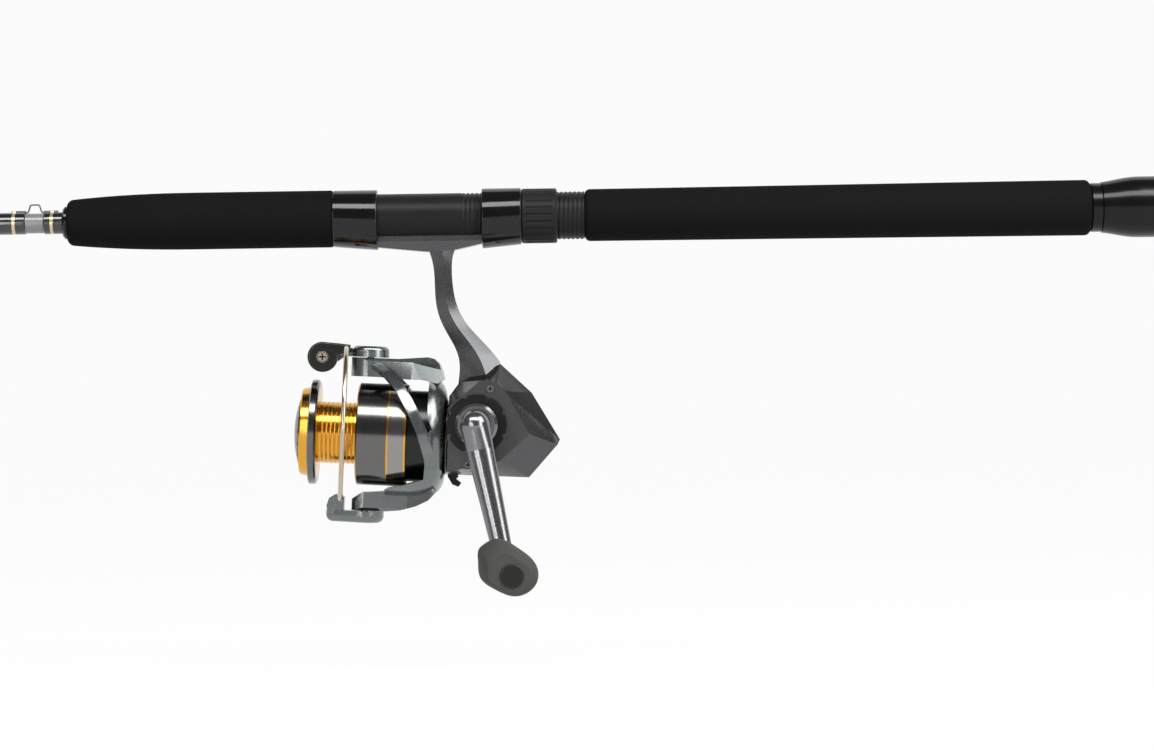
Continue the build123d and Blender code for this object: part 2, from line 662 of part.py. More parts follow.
# Side cover: crank-side half of the case, with bearing seat and screw recesses
with BuildPart() as side_cover:
    add(case.part)
    extrude(outline(side(30), *COVER_REGION), amount=30 - COVER_LINE, mode=Mode.INTERSECT)
    with BuildSketch(side(CHAMBER_NEAR)):
        with Locations((0, CRANK_RISE)):
            Circle(CHAMBER_R)
    extrude(amount=CHAMBER_NEAR, mode=Mode.SUBTRACT)
    with BuildSketch(side(CHAMBER_NEAR + BEARING_T)):
        with Locations((0, CRANK_RISE)):
            Circle(BEARING_R)
    extrude(amount=BEARING_T, mode=Mode.SUBTRACT)
    with BuildSketch(side(30)):
        with Locations((0, CRANK_RISE)):
            Circle(CRANK_SHAFT_R + 1.0)
    extrude(amount=30, mode=Mode.SUBTRACT)
    with BuildSketch(front(0)):
        Circle(BOSS_R)
    extrude(amount=30, mode=Mode.SUBTRACT)
    with BuildSketch(side(30)):
        with Locations(*SCREW_SPOTS):
            Circle(RECESS_R)
    extrude(amount=30 - CASE_T + RECESS_DEPTH, mode=Mode.SUBTRACT)
    with BuildSketch(side(30)):
        with Locations(*SCREW_SPOTS):
            Circle(SCREW_R)
    extrude(amount=30, mode=Mode.SUBTRACT)
save(side_cover, "side_cover")

# Rear guard: dark shell that closes the back of both halves
with BuildPart() as rear_guard:
    add(case.part)
    extrude(outline(side(30), *GUARD_REGION), amount=60, mode=Mode.INTERSECT)
save(rear_guard, "rear_guard")

# Cover screws, sunk in their recesses
with BuildPart() as side_screws:
    with BuildSketch(side(CASE_T - RECESS_DEPTH + SCREW_HEAD_T)):
        with Locations(*SCREW_SPOTS):
            Circle(SCREW_HEAD_R)
    extrude(amount=SCREW_HEAD_T)
    with BuildSketch(side(CASE_T - RECESS_DEPTH)):
        with Locations(*SCREW_SPOTS):
            Circle(SCREW_R)
    extrude(amount=CASE_T - RECESS_DEPTH - COVER_LINE + SCREW_BITE)
    with BuildSketch(side(CASE_T)):
        with Locations(*SCREW_SPOTS):
            Rectangle(2.4, 0.55)
            Rectangle(0.55, 2.4)
    extrude(amount=RECESS_DEPTH - SCREW_HEAD_T + 0.5, mode=Mode.SUBTRACT)
save(side_screws, "side_screws")

# Bearings: one on each side of the drive gear and one behind the rotor hub
with BuildPart() as drive_bearings:
    for v in (CHAMBER_NEAR + BEARING_T, -FAR_BEARING):
        with BuildSketch(side(v)):
            with Locations((0, CRANK_RISE)):
                Circle(BEARING_R)
                Circle(CRANK_SHAFT_R + FIT, mode=Mode.SUBTRACT)
        extrude(amount=BEARING_T)
save(drive_bearings, "drive_bearings")
with BuildPart() as pinion_bearing:
    with BuildSketch(front(CASE_FRONT + BOSS_L - BEARING_T)):
        Circle(PINION_BEARING_R)
        Circle(PINION_SLEEVE_R + FIT, mode=Mode.SUBTRACT)
    extrude(amount=BEARING_T)
save(pinion_bearing, "pinion_bearing")

# Anti-reverse lever: small hooked tab under the case on its own pin
with BuildPart() as anti_reverse_lever:
    with BuildSketch(side(LEVER_T / 2)):
        with Locations(LEVER_PIVOT):
            Circle(LEVER_EYE_R)
        with BuildLine():
            Polyline(
                (LEVER_PIVOT[0] - 1.6, LEVER_PIVOT[1]),
                (7.6, -17.6),
                (8.6, -18.4),
                (6.2, -20.2),
                (7.4, -22.0),
                (10.2, -21.0),
                (12.5, -17.4),
                (LEVER_PIVOT[0] + 1.6, LEVER_PIVOT[1]),
                close=True,
            )
        make_face()
        with Locations(LEVER_PIVOT):
            Circle(LEVER_PIN_R + FIT, mode=Mode.SUBTRACT)
    extrude(amount=LEVER_T)
save(anti_reverse_lever, "anti_reverse_lever")

# Crank collar: dark notched ring on the cover round the crank shaft
with BuildPart() as crank_collar:
    with BuildSketch(side(CASE_T + COLLAR_T)):
        with Locations((0, CRANK_RISE)):
            Circle(COLLAR_R)
            Circle(CRANK_SHAFT_R + 1.0, mode=Mode.SUBTRACT)
            with PolarLocations(COLLAR_R, 8, start_angle=20):
                Circle(1.1, mode=Mode.SUBTRACT)
    extrude(amount=COLLAR_T)
save(crank_collar, "crank_collar")

# Rotor: recessed hub, bell with two diagonal struts, drum inside the skirt, and the two bail arms
HUB_U, HUB_T = CASE_FRONT + BOSS_L + 0.7, 3.0
ROTOR_REAR = CASE_FRONT + RUN_GAP
WELL_R = BOSS_R + 0.6
DRUM_ROOT, DRUM_R = ROTOR_REAR + 3.0, SKIRT_R - SKIRT_WALL - DRUM_GAP
PIVOT_R, PIVOT_RISE = 1.6, 3.6
BELL_MASK = [
    (ROTOR_REAR - 1, 40),
    (22.0, 40),
    (22.0, 21.0),
    (21.6, 8.0),
    (19.4, 3.8),
    (21.0, 2.4),
    (25.0, 0.2),
    (22.6, -7.7),
    (22.1, -13.0),
    (22.6, -19.0),
    (30.0, -21.5),
    (40.0, -24.0),
    (40.0, -40),
    (ROTOR_REAR - 1, -40),
]
ARM_TOP = [
    (60, ARM_OUTER),
    (BAIL_U - 13.0, ARM_OUTER),
    (23.5, ARM_OUTER + ARM_RISE),
    (20.4, ARM_OUTER + 0.7),
    (18.0, ARM_OUTER - 1.4),
    (16.6, ARM_OUTER - 5.0),
    (15.7, 25.8),
    (18.5, 24.0),
    (26.0, 25.4),
    (31.0, 25.2),
    (45.0, 25.8),
    (60, 25.8),
]
ARM_BOTTOM = [
    (60, -ARM_OUTER),
    (39.5, -ARM_OUTER),
    (33.0, -33.6),
    (26.0, -31.4),
    (20.4, -28.4),
    (16.6, -24.0),
    (22.0, -21.0),
    (30.0, -24.2),
    (50.6, -26.2),
    (56.0, -30.0),
    (60, -30.4),
]
STRUT_PATH = [
    (47.0, 8.0, 31.0),
    (41.0, 14.0, 27.0),
    (34.4, 19.8, 20.2),
    (28.2, 24.2, 10.6),
    (23.8, 26.2, 2.0),
    (20.6, 25.9, -7.0),
    (18.4, 22.4, -13.4),
]


def rotor_arm(profile, base, width):
    """Bail arm: plan with a round end, side profile, bevelled outer edges."""
    root = 0.76 * ARM_W
    with BuildPart() as arm:
        with BuildSketch(level(base)):
            with BuildLine():
                Polyline(
                    (BAIL_U, width / 2),
                    (30, width / 2),
                    (20, root - 1.2),
                    (15, root),
                    (15, -root),
                    (20, -root + 1.2),
                    (30, -width / 2),
                    (BAIL_U, -width / 2),
                )
                ThreePointArc((BAIL_U, -width / 2), (BAIL_U + width / 2, 0), (BAIL_U, width / 2))
            make_face()
        extrude(amount=30)
        extrude(outline(side(40), *profile), amount=80, mode=Mode.INTERSECT)
        with BuildSketch(front()):
            with BuildLine():
                Polyline(
                    (-root - 1, ARM_OUTER - 5.0),
                    (-width / 2 - 0.2, ARM_OUTER - 1.6),
                    (-width / 2 + 2.4, ARM_OUTER + ARM_RISE + 0.1),
                    (width / 2 - 2.4, ARM_OUTER + ARM_RISE + 0.1),
                    (width / 2 + 0.2, ARM_OUTER - 1.6),
                    (root + 1, ARM_OUTER - 5.0),
                    (root + 1, -ARM_OUTER + 5.0),
                    (width / 2 + 0.2, -ARM_OUTER + 1.6),
                    (width / 2 - 2.4, -ARM_OUTER - ARM_RISE - 0.1),
                    (-width / 2 + 2.4, -ARM_OUTER - ARM_RISE - 0.1),
                    (-width / 2 - 0.2, -ARM_OUTER + 1.6),
                    (-root - 1, -ARM_OUTER + 5.0),
                    close=True,
                )
            make_face()
        extrude(amount=2 * BAIL_U, mode=Mode.INTERSECT)
    return arm.part


def rotor_strut(way):
    """Diagonal strut from an arm's front down the side of the bell."""
    bars = []
    for index, (u, v, w) in enumerate(STRUT_PATH):
        before = STRUT_PATH[max(index - 1, 0)]
        after = STRUT_PATH[min(index + 1, len(STRUT_PATH) - 1)]
        run = U * (after[0] - before[0]) + V * (way * (after[1] - before[1])) + W * (after[2] - before[2])
        out = (V * (way * v) + W * w).normalized()
        across = run.normalized().cross(out).normalized()
        with BuildSketch(Plane(origin=reel_point(u, way * v, w), x_dir=across, z_dir=run)) as bar:
            Trapezoid(STRUT_W, STRUT_T, 68)
        bars.append(bar.sketch)
    with BuildPart() as strut:
        loft(bars, ruled=True)
    return strut.part


upper_arm = rotor_arm(ARM_TOP, 15, ARM_W)
lower_arm = rotor_arm(ARM_BOTTOM, -45, ARM_LOW_W)
with BuildPart() as rotor:
    with BuildSketch(side()):
        with BuildLine():
            Polyline((46, ROTOR_R), (25, ROTOR_R), (21.5, ROTOR_R - 0.5))
            ThreePointArc((21.5, ROTOR_R - 0.5), (16.4, 24.2), (14.2, 18.6))
            Polyline(
                (14.2, 18.6),
                (ROTOR_REAR, WELL_R),
                (HUB_U, WELL_R),
                (HUB_U, PINION_SLEEVE_R),
                (HUB_U + HUB_T, PINION_SLEEVE_R),
                (HUB_U + HUB_T, WELL_R + ROTOR_WALL),
                (18.4, WELL_R + ROTOR_WALL + 1.0),
            )
            ThreePointArc((18.4, WELL_R + ROTOR_WALL + 1.0), (19.6, 23.6), (25, ROTOR_R - ROTOR_WALL))
            Polyline((25, ROTOR_R - ROTOR_WALL), (46, ROTOR_R - ROTOR_WALL), (46, ROTOR_R))
        make_face()
    revolve(axis=SPIN)
    extrude(outline(side(60), *BELL_MASK), amount=120, mode=Mode.INTERSECT)
    revolve(
        outline(
            side(),
            (DRUM_ROOT, DRUM_R - DRUM_WALL),
            (DRUM_ROOT, DRUM_R),
            (SKIRT_REAR + DRUM_COVER, DRUM_R),
            (SKIRT_REAR + DRUM_COVER, DRUM_R - DRUM_WALL),
        ),
        axis=SPIN,
    )
    add(upper_arm)
    add(lower_arm)
    add(rotor_strut(1))
    add(rotor_strut(-1))
    with BuildSketch(level(-60)):
        with Locations((BAIL_U, 0)):
            Circle(PIVOT_R)
    extrude(amount=120, mode=Mode.SUBTRACT)
save(rotor, "rotor")

# Rotor nut on the pinion sleeve
with BuildPart() as rotor_nut:
    with BuildSketch(front(HUB_U + HUB_T)):
        RegularPolygon(6.0, 6)
        Circle(PINION_SLEEVE_R, mode=Mode.SUBTRACT)
    extrude(amount=2.6)
save(rotor_nut, "rotor_nut")

# Bail pivots: pins through the ends of both arms
with BuildPart() as bail_pivots:
    for way in (1, -1):
        with BuildSketch(level(way * 26.5)):
            with Locations((BAIL_U, 0)):
                Circle(PIVOT_R)
        extrude(amount=way * (ARM_OUTER + PIVOT_RISE - 26.5))
save(bail_pivots, "bail_pivots")

# Bail arm: domed pivot disc and a blade that carries the roller eye
ROLLER_U, ROLLER_W, ROLLER_R, EYE_R, CAP_R = 70.7, 33.8, 4.2, 5.2, 6.8
ROLLER_NEAR, ROLLER_FAR = 0.2, -4.4
BLADE_T, CAP_T, ROLLER_GAP = 3.0, 5.0, 0.25
ROLLER_PIN_R, ROLLER_HEAD_R = 1.7, 2.6
DISC_TOP = ARM_OUTER + 5.3
with BuildPart() as bail_arm:
    with BuildSketch(level(ARM_OUTER + BAIL_GAP)):
        with Locations((BAIL_U, 0)):
            Circle(8.3)
    extrude(amount=DISC_TOP - ARM_OUTER - BAIL_GAP)
    fillet(bail_arm.faces().sort_by(Axis(REEL_ORIGIN, W))[-1].edges(), 2.4)
    with BuildSketch(side(ROLLER_FAR - ROLLER_GAP)):
        with BuildLine():
            Polyline(
                (BAIL_U, ARM_OUTER + BAIL_GAP),
                (BAIL_U, 38.4),
                (60, 38.4),
                (71.5, 39.0),
                (75.5, 35.5),
                (73.0, 29.2),
                (68.0, 29.4),
                (61.0, ARM_OUTER + BAIL_GAP),
                close=True,
            )
        make_face()
        fillet(vertices().sort_by(Axis.X)[-4:], 2.2)
    extrude(amount=BLADE_T)
    with BuildSketch(side(10)):
        with Locations((ROLLER_U, ROLLER_W)):
            Circle(ROLLER_PIN_R)
    extrude(amount=30, mode=Mode.SUBTRACT)
    with BuildSketch(level(ARM_OUTER)):
        with Locations((BAIL_U, 0)):
            Circle(PIVOT_R + FIT)
    extrude(amount=PIVOT_RISE + 0.2, mode=Mode.SUBTRACT)
save(bail_arm, "bail_arm")

# Roller cap: the arm cam that ends the wire and covers the line roller
WIRE_TOP, WIRE_BOTTOM = 38.0, -29.8
CAP_NEAR = ROLLER_NEAR + ROLLER_GAP + CAP_T
with BuildPart() as roller_cap:
    with BuildSketch(side(CAP_NEAR)):
        with Locations((ROLLER_U, ROLLER_W)):
            Circle(CAP_R)
        with BuildLine():
            Polyline(
                (ROLLER_U - 1.0, ROLLER_W + CAP_R - 0.1),
                (WIRE_U + 3.2, WIRE_TOP + 2.2),
                (WIRE_U - 1.9, WIRE_TOP + 1.8),
                (WIRE_U - 2.2, WIRE_TOP - 1.6),
                (ROLLER_U - 6.6, ROLLER_W + 1.0),
                (ROLLER_U - 3.0, ROLLER_W - 5.6),
                close=True,
            )
        make_face()
    extrude(amount=CAP_T)
    fillet(roller_cap.faces().sort_by(Axis.Y)[-1].edges(), 1.0)
    with BuildSketch(side(CAP_NEAR + 5)):
        with Locations((ROLLER_U, ROLLER_W)):
            Circle(ROLLER_PIN_R)
    extrude(amount=30, mode=Mode.SUBTRACT)
    with BuildSketch(side(CAP_NEAR + 5)):
        with Locations((ROLLER_U, ROLLER_W)):
            Circle(ROLLER_HEAD_R + FIT)
    extrude(amount=6.0, mode=Mode.SUBTRACT)
save(roller_cap, "roller_cap")

# Roller screw through cap, roller and blade
with BuildPart() as roller_screw:
    with BuildSketch(side(CAP_NEAR + 0.1)):
        with Locations((ROLLER_U, ROLLER_W)):
            Circle(ROLLER_HEAD_R)
    extrude(amount=1.1)
    with BuildSketch(side(CAP_NEAR - 1.0)):
        with Locations((ROLLER_U, ROLLER_W)):
            Circle(ROLLER_PIN_R)
    extrude(amount=CAP_NEAR - 1.0 - ROLLER_FAR + ROLLER_GAP + BLADE_T)
    with BuildSketch(side(CAP_NEAR + 0.1)):
        with Locations((ROLLER_U, ROLLER_W)):
            Rectangle(1.5 * ROLLER_HEAD_R, 0.8)
            Rectangle(0.8, 1.5 * ROLLER_HEAD_R)
    extrude(amount=0.6, mode=Mode.SUBTRACT)
save(roller_screw, "roller_screw")

# Line roller: grooved bush that turns on the screw
with BuildPart() as line_roller:
    with BuildSketch(side(ROLLER_NEAR)):
        with Locations((ROLLER_U, ROLLER_W)):
            Circle(ROLLER_R)
            Circle(ROLLER_PIN_R + FIT, mode=Mode.SUBTRACT)
    extrude(amount=ROLLER_NEAR - ROLLER_FAR)
    chamfer(line_roller.edges().filter_by(GeomType.CIRCLE).group_by(SortBy.RADIUS)[-1], 0.6)
save(line_roller, "line_roller")

# Bail wire: half loop in front of the spool, from the cap to the lever, leaning back
WIRE_MID = (WIRE_TOP + WIRE_BOTTOM) / 2
LOOP_R = (WIRE_TOP - WIRE_BOTTOM) / 2
LOOP_V = WIRE_REACH - LOOP_R
WIRE_BACK = radians(WIRE_LEAN)
wire_plane = Plane(
    origin=reel_point(WIRE_U, 0, 0),
    x_dir=V * cos(WIRE_BACK) - U * sin(WIRE_BACK),
    z_dir=U * cos(WIRE_BACK) + V * sin(WIRE_BACK),
)
with BuildPart() as bail_wire:
    with BuildLine(wire_plane) as wire_path:
        Line((CAP_NEAR + WIRE_R * WIRE_BACK, WIRE_TOP), (LOOP_V, WIRE_TOP))
        ThreePointArc((LOOP_V, WIRE_TOP), (WIRE_REACH, WIRE_MID), (LOOP_V, WIRE_BOTTOM))
        Line((LOOP_V, WIRE_BOTTOM), (0, WIRE_BOTTOM))
    with BuildSketch(Plane(origin=wire_path.line @ 0, z_dir=wire_path.line % 0)):
        Circle(WIRE_R)
    sweep(path=wire_path.line)
save(bail_wire, "bail_wire")

# Bail lever: teardrop under the lower arm with the socket for the wire
LEVER_NOSE, SOCKET_W, LEVER_DROP = 62.4, 8.0, 5.2
with BuildPart() as bail_lever:
    with BuildSketch(level(-ARM_OUTER - BAIL_GAP)):
        with Locations((BAIL_U, 0)):
            Circle(8.8)
        with Locations((LEVER_NOSE, 0)):
            Circle(SOCKET_W / 2)
        make_hull()
    extrude(amount=-LEVER_DROP)
    fillet(bail_lever.faces().sort_by(Axis(REEL_ORIGIN, W))[0].edges(), 3.0)
    with BuildSketch(side(SOCKET_W / 2)):
        with BuildLine():
            Polyline(
                (58.4, -ARM_OUTER - BAIL_GAP - 2.0),
                (65.0, -ARM_OUTER - BAIL_GAP - 2.0),
                (66.2, -33.0),
                (65.2, -29.4),
                (62.6, -27.6),
                (60.0, -27.4),
                (58.4, -28.8),
                close=True,
            )
        make_face()
        fillet(vertices().sort_by(Axis.Z)[-4:], 1.0)
    extrude(amount=SOCKET_W)
    with BuildSketch(level(-ARM_OUTER)):
        with Locations((BAIL_U, 0)):
            Circle(PIVOT_R + FIT)
    extrude(amount=-PIVOT_RISE - 0.2, mode=Mode.SUBTRACT)
    add(bail_wire.part, mode=Mode.SUBTRACT)
save(bail_lever, "bail_lever")

# Spool: skirt, arbor, front lip and the well for the drag stack
with BuildPart() as spool:
    revolve(
        outline(
            side(),
            (SKIRT_REAR, SKIRT_R - SKIRT_WALL),
            (SKIRT_REAR, SKIRT_R),
            (SKIRT_FRONT - 0.7, SKIRT_R),
            (SKIRT_FRONT, SKIRT_R - 0.7),
            (SKIRT_FRONT, SPOOL_ARBOR_R),
            (LIP_U - 1.2, SPOOL_ARBOR_R),
            (LIP_U - 0.4, LIP_R - 0.9),
            (LIP_U + 0.4, LIP_R),
            (LIP_U + 2.8, LIP_R),
            (LIP_U + 3.3, LIP_R - 0.8),
            (LIP_U + 3.3, RIM_R + 0.6),
            (SPOOL_FRONT - 0.6, RIM_R),
            (SPOOL_FRONT, RIM_R - 0.6),
            (SPOOL_FRONT, DRAG_KNOB_R + 0.7),
            (LIP_U + 3.8, DRAG_KNOB_R + 0.6),
            (LIP_U + 3.8, WASHER_R + 0.3),
            (WELL_U, WASHER_R + 0.3),
            (WELL_U, SHAFT_R + FIT),
            (SKIRT_FRONT - 2.0, SHAFT_R + FIT),
            (SKIRT_FRONT - 2.0, SKIRT_R - SKIRT_WALL),
        ),
        axis=SPIN,
    )
save(spool, "spool")

# Drag washers, stacked in the spool well
with BuildPart() as drag_washers:
    for index in range(WASHER_COUNT):
        with BuildSketch(front(WELL_U + 0.1 + index * (WASHER_T + 0.1))):
            Circle(WASHER_R)
            Circle(SHAFT_R + 0.3, mode=Mode.SUBTRACT)
        extrude(amount=WASHER_T)
save(drag_washers, "drag_washers")

# Drag knob: domed front dial with a grip bar, screwed on the shaft end
stack_end = WELL_U + 0.1 + WASHER_COUNT * (WASHER_T + 0.1)
with BuildPart() as drag_knob:
    with BuildSketch(side()):
        with BuildLine():
            Polyline(
                (KNOB_FRONT, 3.0),
                (KNOB_FRONT, 0),
                (stack_end + 0.1, 0),
                (stack_end + 0.1, WASHER_R - 1.0),
                (LIP_U + 4.1, WASHER_R - 1.0),
                (LIP_U + 4.1, DRAG_KNOB_R),
                (SPOOL_FRONT + 0.6, DRAG_KNOB_R),
            )
            ThreePointArc(
                (SPOOL_FRONT + 0.6, DRAG_KNOB_R),
                (KNOB_FRONT - 0.7, DRAG_KNOB_R * 0.62),
                (KNOB_FRONT, 3.0),
            )
        make_face()
    revolve(axis=SPIN)
    with BuildSketch(front(LIP_U + 4.1)):
        with PolarLocations(DRAG_KNOB_R + 0.5, 16):
            Circle(1.3)
    extrude(amount=10, mode=Mode.SUBTRACT)
    with BuildSketch(front(0)):
        Circle(SHAFT_R + FIT)
    extrude(amount=SHAFT_FRONT + RUN_GAP, mode=Mode.SUBTRACT)
save(drag_knob, "drag_knob")

# Main shaft and the slider that moves it to and fro
with BuildPart() as main_shaft:
    with BuildSketch(front(SHAFT_REAR)):
        Circle(SHAFT_R)
    extrude(amount=SHAFT_FRONT - SHAFT_REAR)
save(main_shaft, "main_shaft")
with BuildPart() as oscillation_slider:
    with BuildSketch(front(SLIDER_U)):
        with Locations((-1.0, -0.4)):
            Rectangle(5.2, 6.4)
        Circle(SHAFT_R, mode=Mode.SUBTRACT)
    extrude(amount=SLIDER_L)
save(oscillation_slider, "oscillation_slider")

# Pinion: short toothed end and a sleeve through the bearing and the rotor hub
PITCH = 2 * pi * PINION_PITCH_R / PINION_TEETH
ROOT_R, TOOTH_TIP_R = PINION_PITCH_R - 0.75 * GEAR_MODULE, PINION_PITCH_R + 0.75 * GEAR_MODULE
with BuildPart() as pinion:
    with BuildSketch(front(GEAR_REACH - GEAR_FACE / 2 - 0.6)):
        Circle(ROOT_R + 0.15)
        tooth_middle = (ROOT_R + TOOTH_TIP_R) / 2
        with PolarLocations(tooth_middle, PINION_TEETH, start_angle=180 / PINION_TEETH):
            Rectangle(TOOTH_TIP_R - ROOT_R, PITCH / 2 - TOOTH_BACKLASH)
    extrude(amount=GEAR_FACE + 1.2)
    with BuildSketch(front(GEAR_REACH + GEAR_FACE / 2 + 0.6)):
        Circle(PINION_SLEEVE_R)
    extrude(amount=HUB_U + HUB_T + 3.0 - GEAR_REACH - GEAR_FACE / 2 - 0.6)
    with BuildSketch(front(0)):
        Circle(SHAFT_R + FIT)
    extrude(amount=40, mode=Mode.SUBTRACT)
save(pinion, "pinion")

# Drive gear: face gear whose teeth lie along the offset pinion
GEAR_FLOOR = PINION_PITCH_R + 0.95 * GEAR_MODULE
with BuildPart() as drive_gear:
    with BuildSketch(side(GEAR_FLOOR + GEAR_BACK_T)):
        with Locations((0, CRANK_RISE)):
            Circle(GEAR_R)
            Circle(CRANK_SHAFT_R, mode=Mode.SUBTRACT)
    extrude(amount=GEAR_BACK_T)
    with BuildSketch(side(GEAR_FLOOR)):
        with Locations((0, CRANK_RISE)):
            with PolarLocations(0, GEAR_TEETH):
                with Locations((GEAR_REACH, -CRANK_RISE)):
                    Rectangle(GEAR_FACE, PITCH / 2 - TOOTH_BACKLASH + 0.2)
    extrude(amount=1.3 * GEAR_MODULE, taper=10)
save(drive_gear, "drive_gear")

# Crank shaft: from the far bearing to the crank
HUB_V = CASE_T + COLLAR_T + RUN_GAP
with BuildPart() as crank_shaft:
    with BuildSketch(side(HUB_V)):
        with Locations((0, CRANK_RISE)):
            Circle(CRANK_SHAFT_R)
    extrude(amount=HUB_V + FAR_BEARING + BEARING_T)
save(crank_shaft, "crank_shaft")

# Crank: hub, neck and elbow that carry the arm outside all that the rotor sweeps
ARM_SWEEP_R = sqrt((ARM_OUTER + ARM_RISE) ** 2 + (0.76 * ARM_W) ** 2)
BAIL_SWEEP_R = sqrt(LOOP_V**2 + WIRE_MID**2) + LOOP_R + WIRE_R
ELBOW_V = ARM_SWEEP_R + CRANK_CLEARANCE + CRANK_ROOT_T / 2
TIP_V = BAIL_SWEEP_R + CRANK_CLEARANCE + CRANK_TIP_T / 2
elbow = reel_point(0, ELBOW_V, CRANK_RISE)
tip = reel_point(SPINDLE_U, TIP_V, SPINDLE_W)
arm_run = tip - elbow
ROOT_SHARE = (HUB_R + 2.0) / arm_run.length
with BuildPart() as crank_arm:
    with BuildSketch(side(HUB_V + HUB_L)):
        with Locations((0, CRANK_RISE)):
            Circle(HUB_R)
    extrude(amount=HUB_L)
    chamfer(crank_arm.faces().sort_by(Axis.Y)[-1].edges(), 1.2)
    with BuildSketch(side(ELBOW_V)):
        with Locations((0, CRANK_RISE)):
            Circle(NECK_R)
    extrude(amount=ELBOW_V - HUB_V)
    with Locations(Location(elbow)):
        Sphere(NECK_R)
    for share, width, depth in (
        (0.0, 2 * NECK_R, 2 * NECK_R),
        (ROOT_SHARE, CRANK_ROOT_W, CRANK_ROOT_T),
        (1.0, CRANK_TIP_W, CRANK_TIP_T),
    ):
        with BuildSketch(Plane(origin=elbow + arm_run * share, x_dir=arm_run.cross(V), z_dir=arm_run)):
            Ellipse(width / 2, depth / 2)
    loft(ruled=True)
    with BuildSketch(side(TIP_V + CRANK_TIP_T / 2)):
        with Locations((SPINDLE_U, SPINDLE_W)):
            Circle(SPINDLE_BOSS_R)
    extrude(amount=CRANK_TIP_T)
save(crank_arm, "crank_arm")

# Knob spindle and the soft knob that turns on it
KNOB_BASE = TIP_V + CRANK_TIP_T / 2 + RUN_GAP
KNOB_OUTLINE = [
    (10.1, 3.3),
    (6.2, 6.2),
    (2.1, 7.7),
    (-2.4, 7.0),
    (-7.8, 4.1),
    (-14.5, -1.7),
    (-14.8, -8.2),
    (-6.4, -14.6),
    (4.1, -11.8),
    (9.5, -7.9),
    (10.6, -1.5),
]
with BuildPart() as knob_spindle:
    with BuildSketch(side(KNOB_BASE + KNOB_L - 2.0)):
        with Locations((SPINDLE_U, SPINDLE_W)):
            Circle(SPINDLE_R)
    extrude(amount=KNOB_L - 2.0 + RUN_GAP)
save(knob_spindle, "knob_spindle")
with BuildPart() as knob:
    for rise, size in ((0, 0.62), (0.25, 0.86), (0.62, 1.0), (1.0, 0.74)):
        shift_u = (CAP_U - SPINDLE_U) * (rise - 0.62)
        shift_w = (CAP_W - SPINDLE_W) * (rise - 0.62)
        with BuildSketch(side(KNOB_BASE + KNOB_L * rise)):
            with BuildLine():
                Spline(
                    *[
                        (SPINDLE_U + shift_u + size * u, SPINDLE_W + shift_w + size * w)
                        for u, w in KNOB_OUTLINE
                    ],
                    periodic=True,
                )
            make_face()
    loft()
    with BuildSketch(side(KNOB_BASE + KNOB_L - 2.0 + FIT)):
        with Locations((SPINDLE_U, SPINDLE_W)):
            Circle(SPINDLE_R + FIT)
    extrude(amount=KNOB_L, mode=Mode.SUBTRACT)
save(knob, "knob")
with BuildPart() as knob_cap:
    with BuildSketch(side(KNOB_BASE + KNOB_L + 0.8)):
        with Locations((CAP_U, CAP_W)):
            Circle(KNOB_CAP_R)
    extrude(amount=0.8)
    fillet(knob_cap.faces().sort_by(Axis.Y)[-1].edges(), 0.5)
save(knob_cap, "knob_cap")
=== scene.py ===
"""Spinning rod and reel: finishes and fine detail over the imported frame."""
import json
import math

import bmesh
import bpy
from mathutils import Matrix, Vector


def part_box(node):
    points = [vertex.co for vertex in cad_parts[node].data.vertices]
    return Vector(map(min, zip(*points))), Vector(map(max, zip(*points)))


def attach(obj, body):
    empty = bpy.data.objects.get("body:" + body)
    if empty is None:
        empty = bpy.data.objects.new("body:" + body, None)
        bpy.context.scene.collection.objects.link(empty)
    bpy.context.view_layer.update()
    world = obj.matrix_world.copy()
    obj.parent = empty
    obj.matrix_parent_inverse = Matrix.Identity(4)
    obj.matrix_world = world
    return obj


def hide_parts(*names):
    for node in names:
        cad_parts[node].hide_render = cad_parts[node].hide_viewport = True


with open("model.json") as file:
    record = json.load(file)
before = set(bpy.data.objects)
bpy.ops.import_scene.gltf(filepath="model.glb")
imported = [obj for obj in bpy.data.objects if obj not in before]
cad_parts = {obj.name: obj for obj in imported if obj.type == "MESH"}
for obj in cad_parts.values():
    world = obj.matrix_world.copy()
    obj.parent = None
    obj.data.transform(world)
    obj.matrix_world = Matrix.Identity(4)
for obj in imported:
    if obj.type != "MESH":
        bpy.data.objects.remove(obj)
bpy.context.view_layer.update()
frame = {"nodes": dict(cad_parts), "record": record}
NODES = frame["nodes"]

bl_info = {
    "name": "Spinning rod and reel",
    "version": (1, 0, 0),
    "blender": (4, 5, 0),
    "location": "View3D > Sidebar > Rod",
    "description": "Finishes a jointed spinning rod and reel",
    "category": "Object",
}

# Reel frame in metres: u forward along the spool, v to the crank side, w up
LEAN = math.radians(3.3)
REEL_U = Vector((math.cos(LEAN), 0.0, math.sin(LEAN)))
REEL_W = Vector((-math.sin(LEAN), 0.0, math.cos(LEAN)))
REEL_ORIGIN = Vector((0.3111, 0.0, -0.0998))

# Screws on the crank side, as (u, w) in millimetres
SCREW_SPOTS = ((-5.4, 22.8), (3.1, -11.6))
ROLLER_SPOT = (70.7, 33.8)
# How far round its spot a screw reaches, and the depth of its outer face, in metres
SCREW_REACH, FACE_DEPTH = 0.004, 0.0002
# Painted-shade cross standing in for a screw's recess, and its dark rim bead, as shares of its
# radius
CROSS_LENGTH, CROSS_WIDTH, RIM_RADIUS, RIM_BEAD = 1.1, 0.26, 0.86, 0.07

# Seat thread: its run past the hood in metres, steepness of its flanks and width of its root
THREAD_PAST_HOOD, THREAD_FLANK, THREAD_ROOT = 0.009, 3.2, 0.3
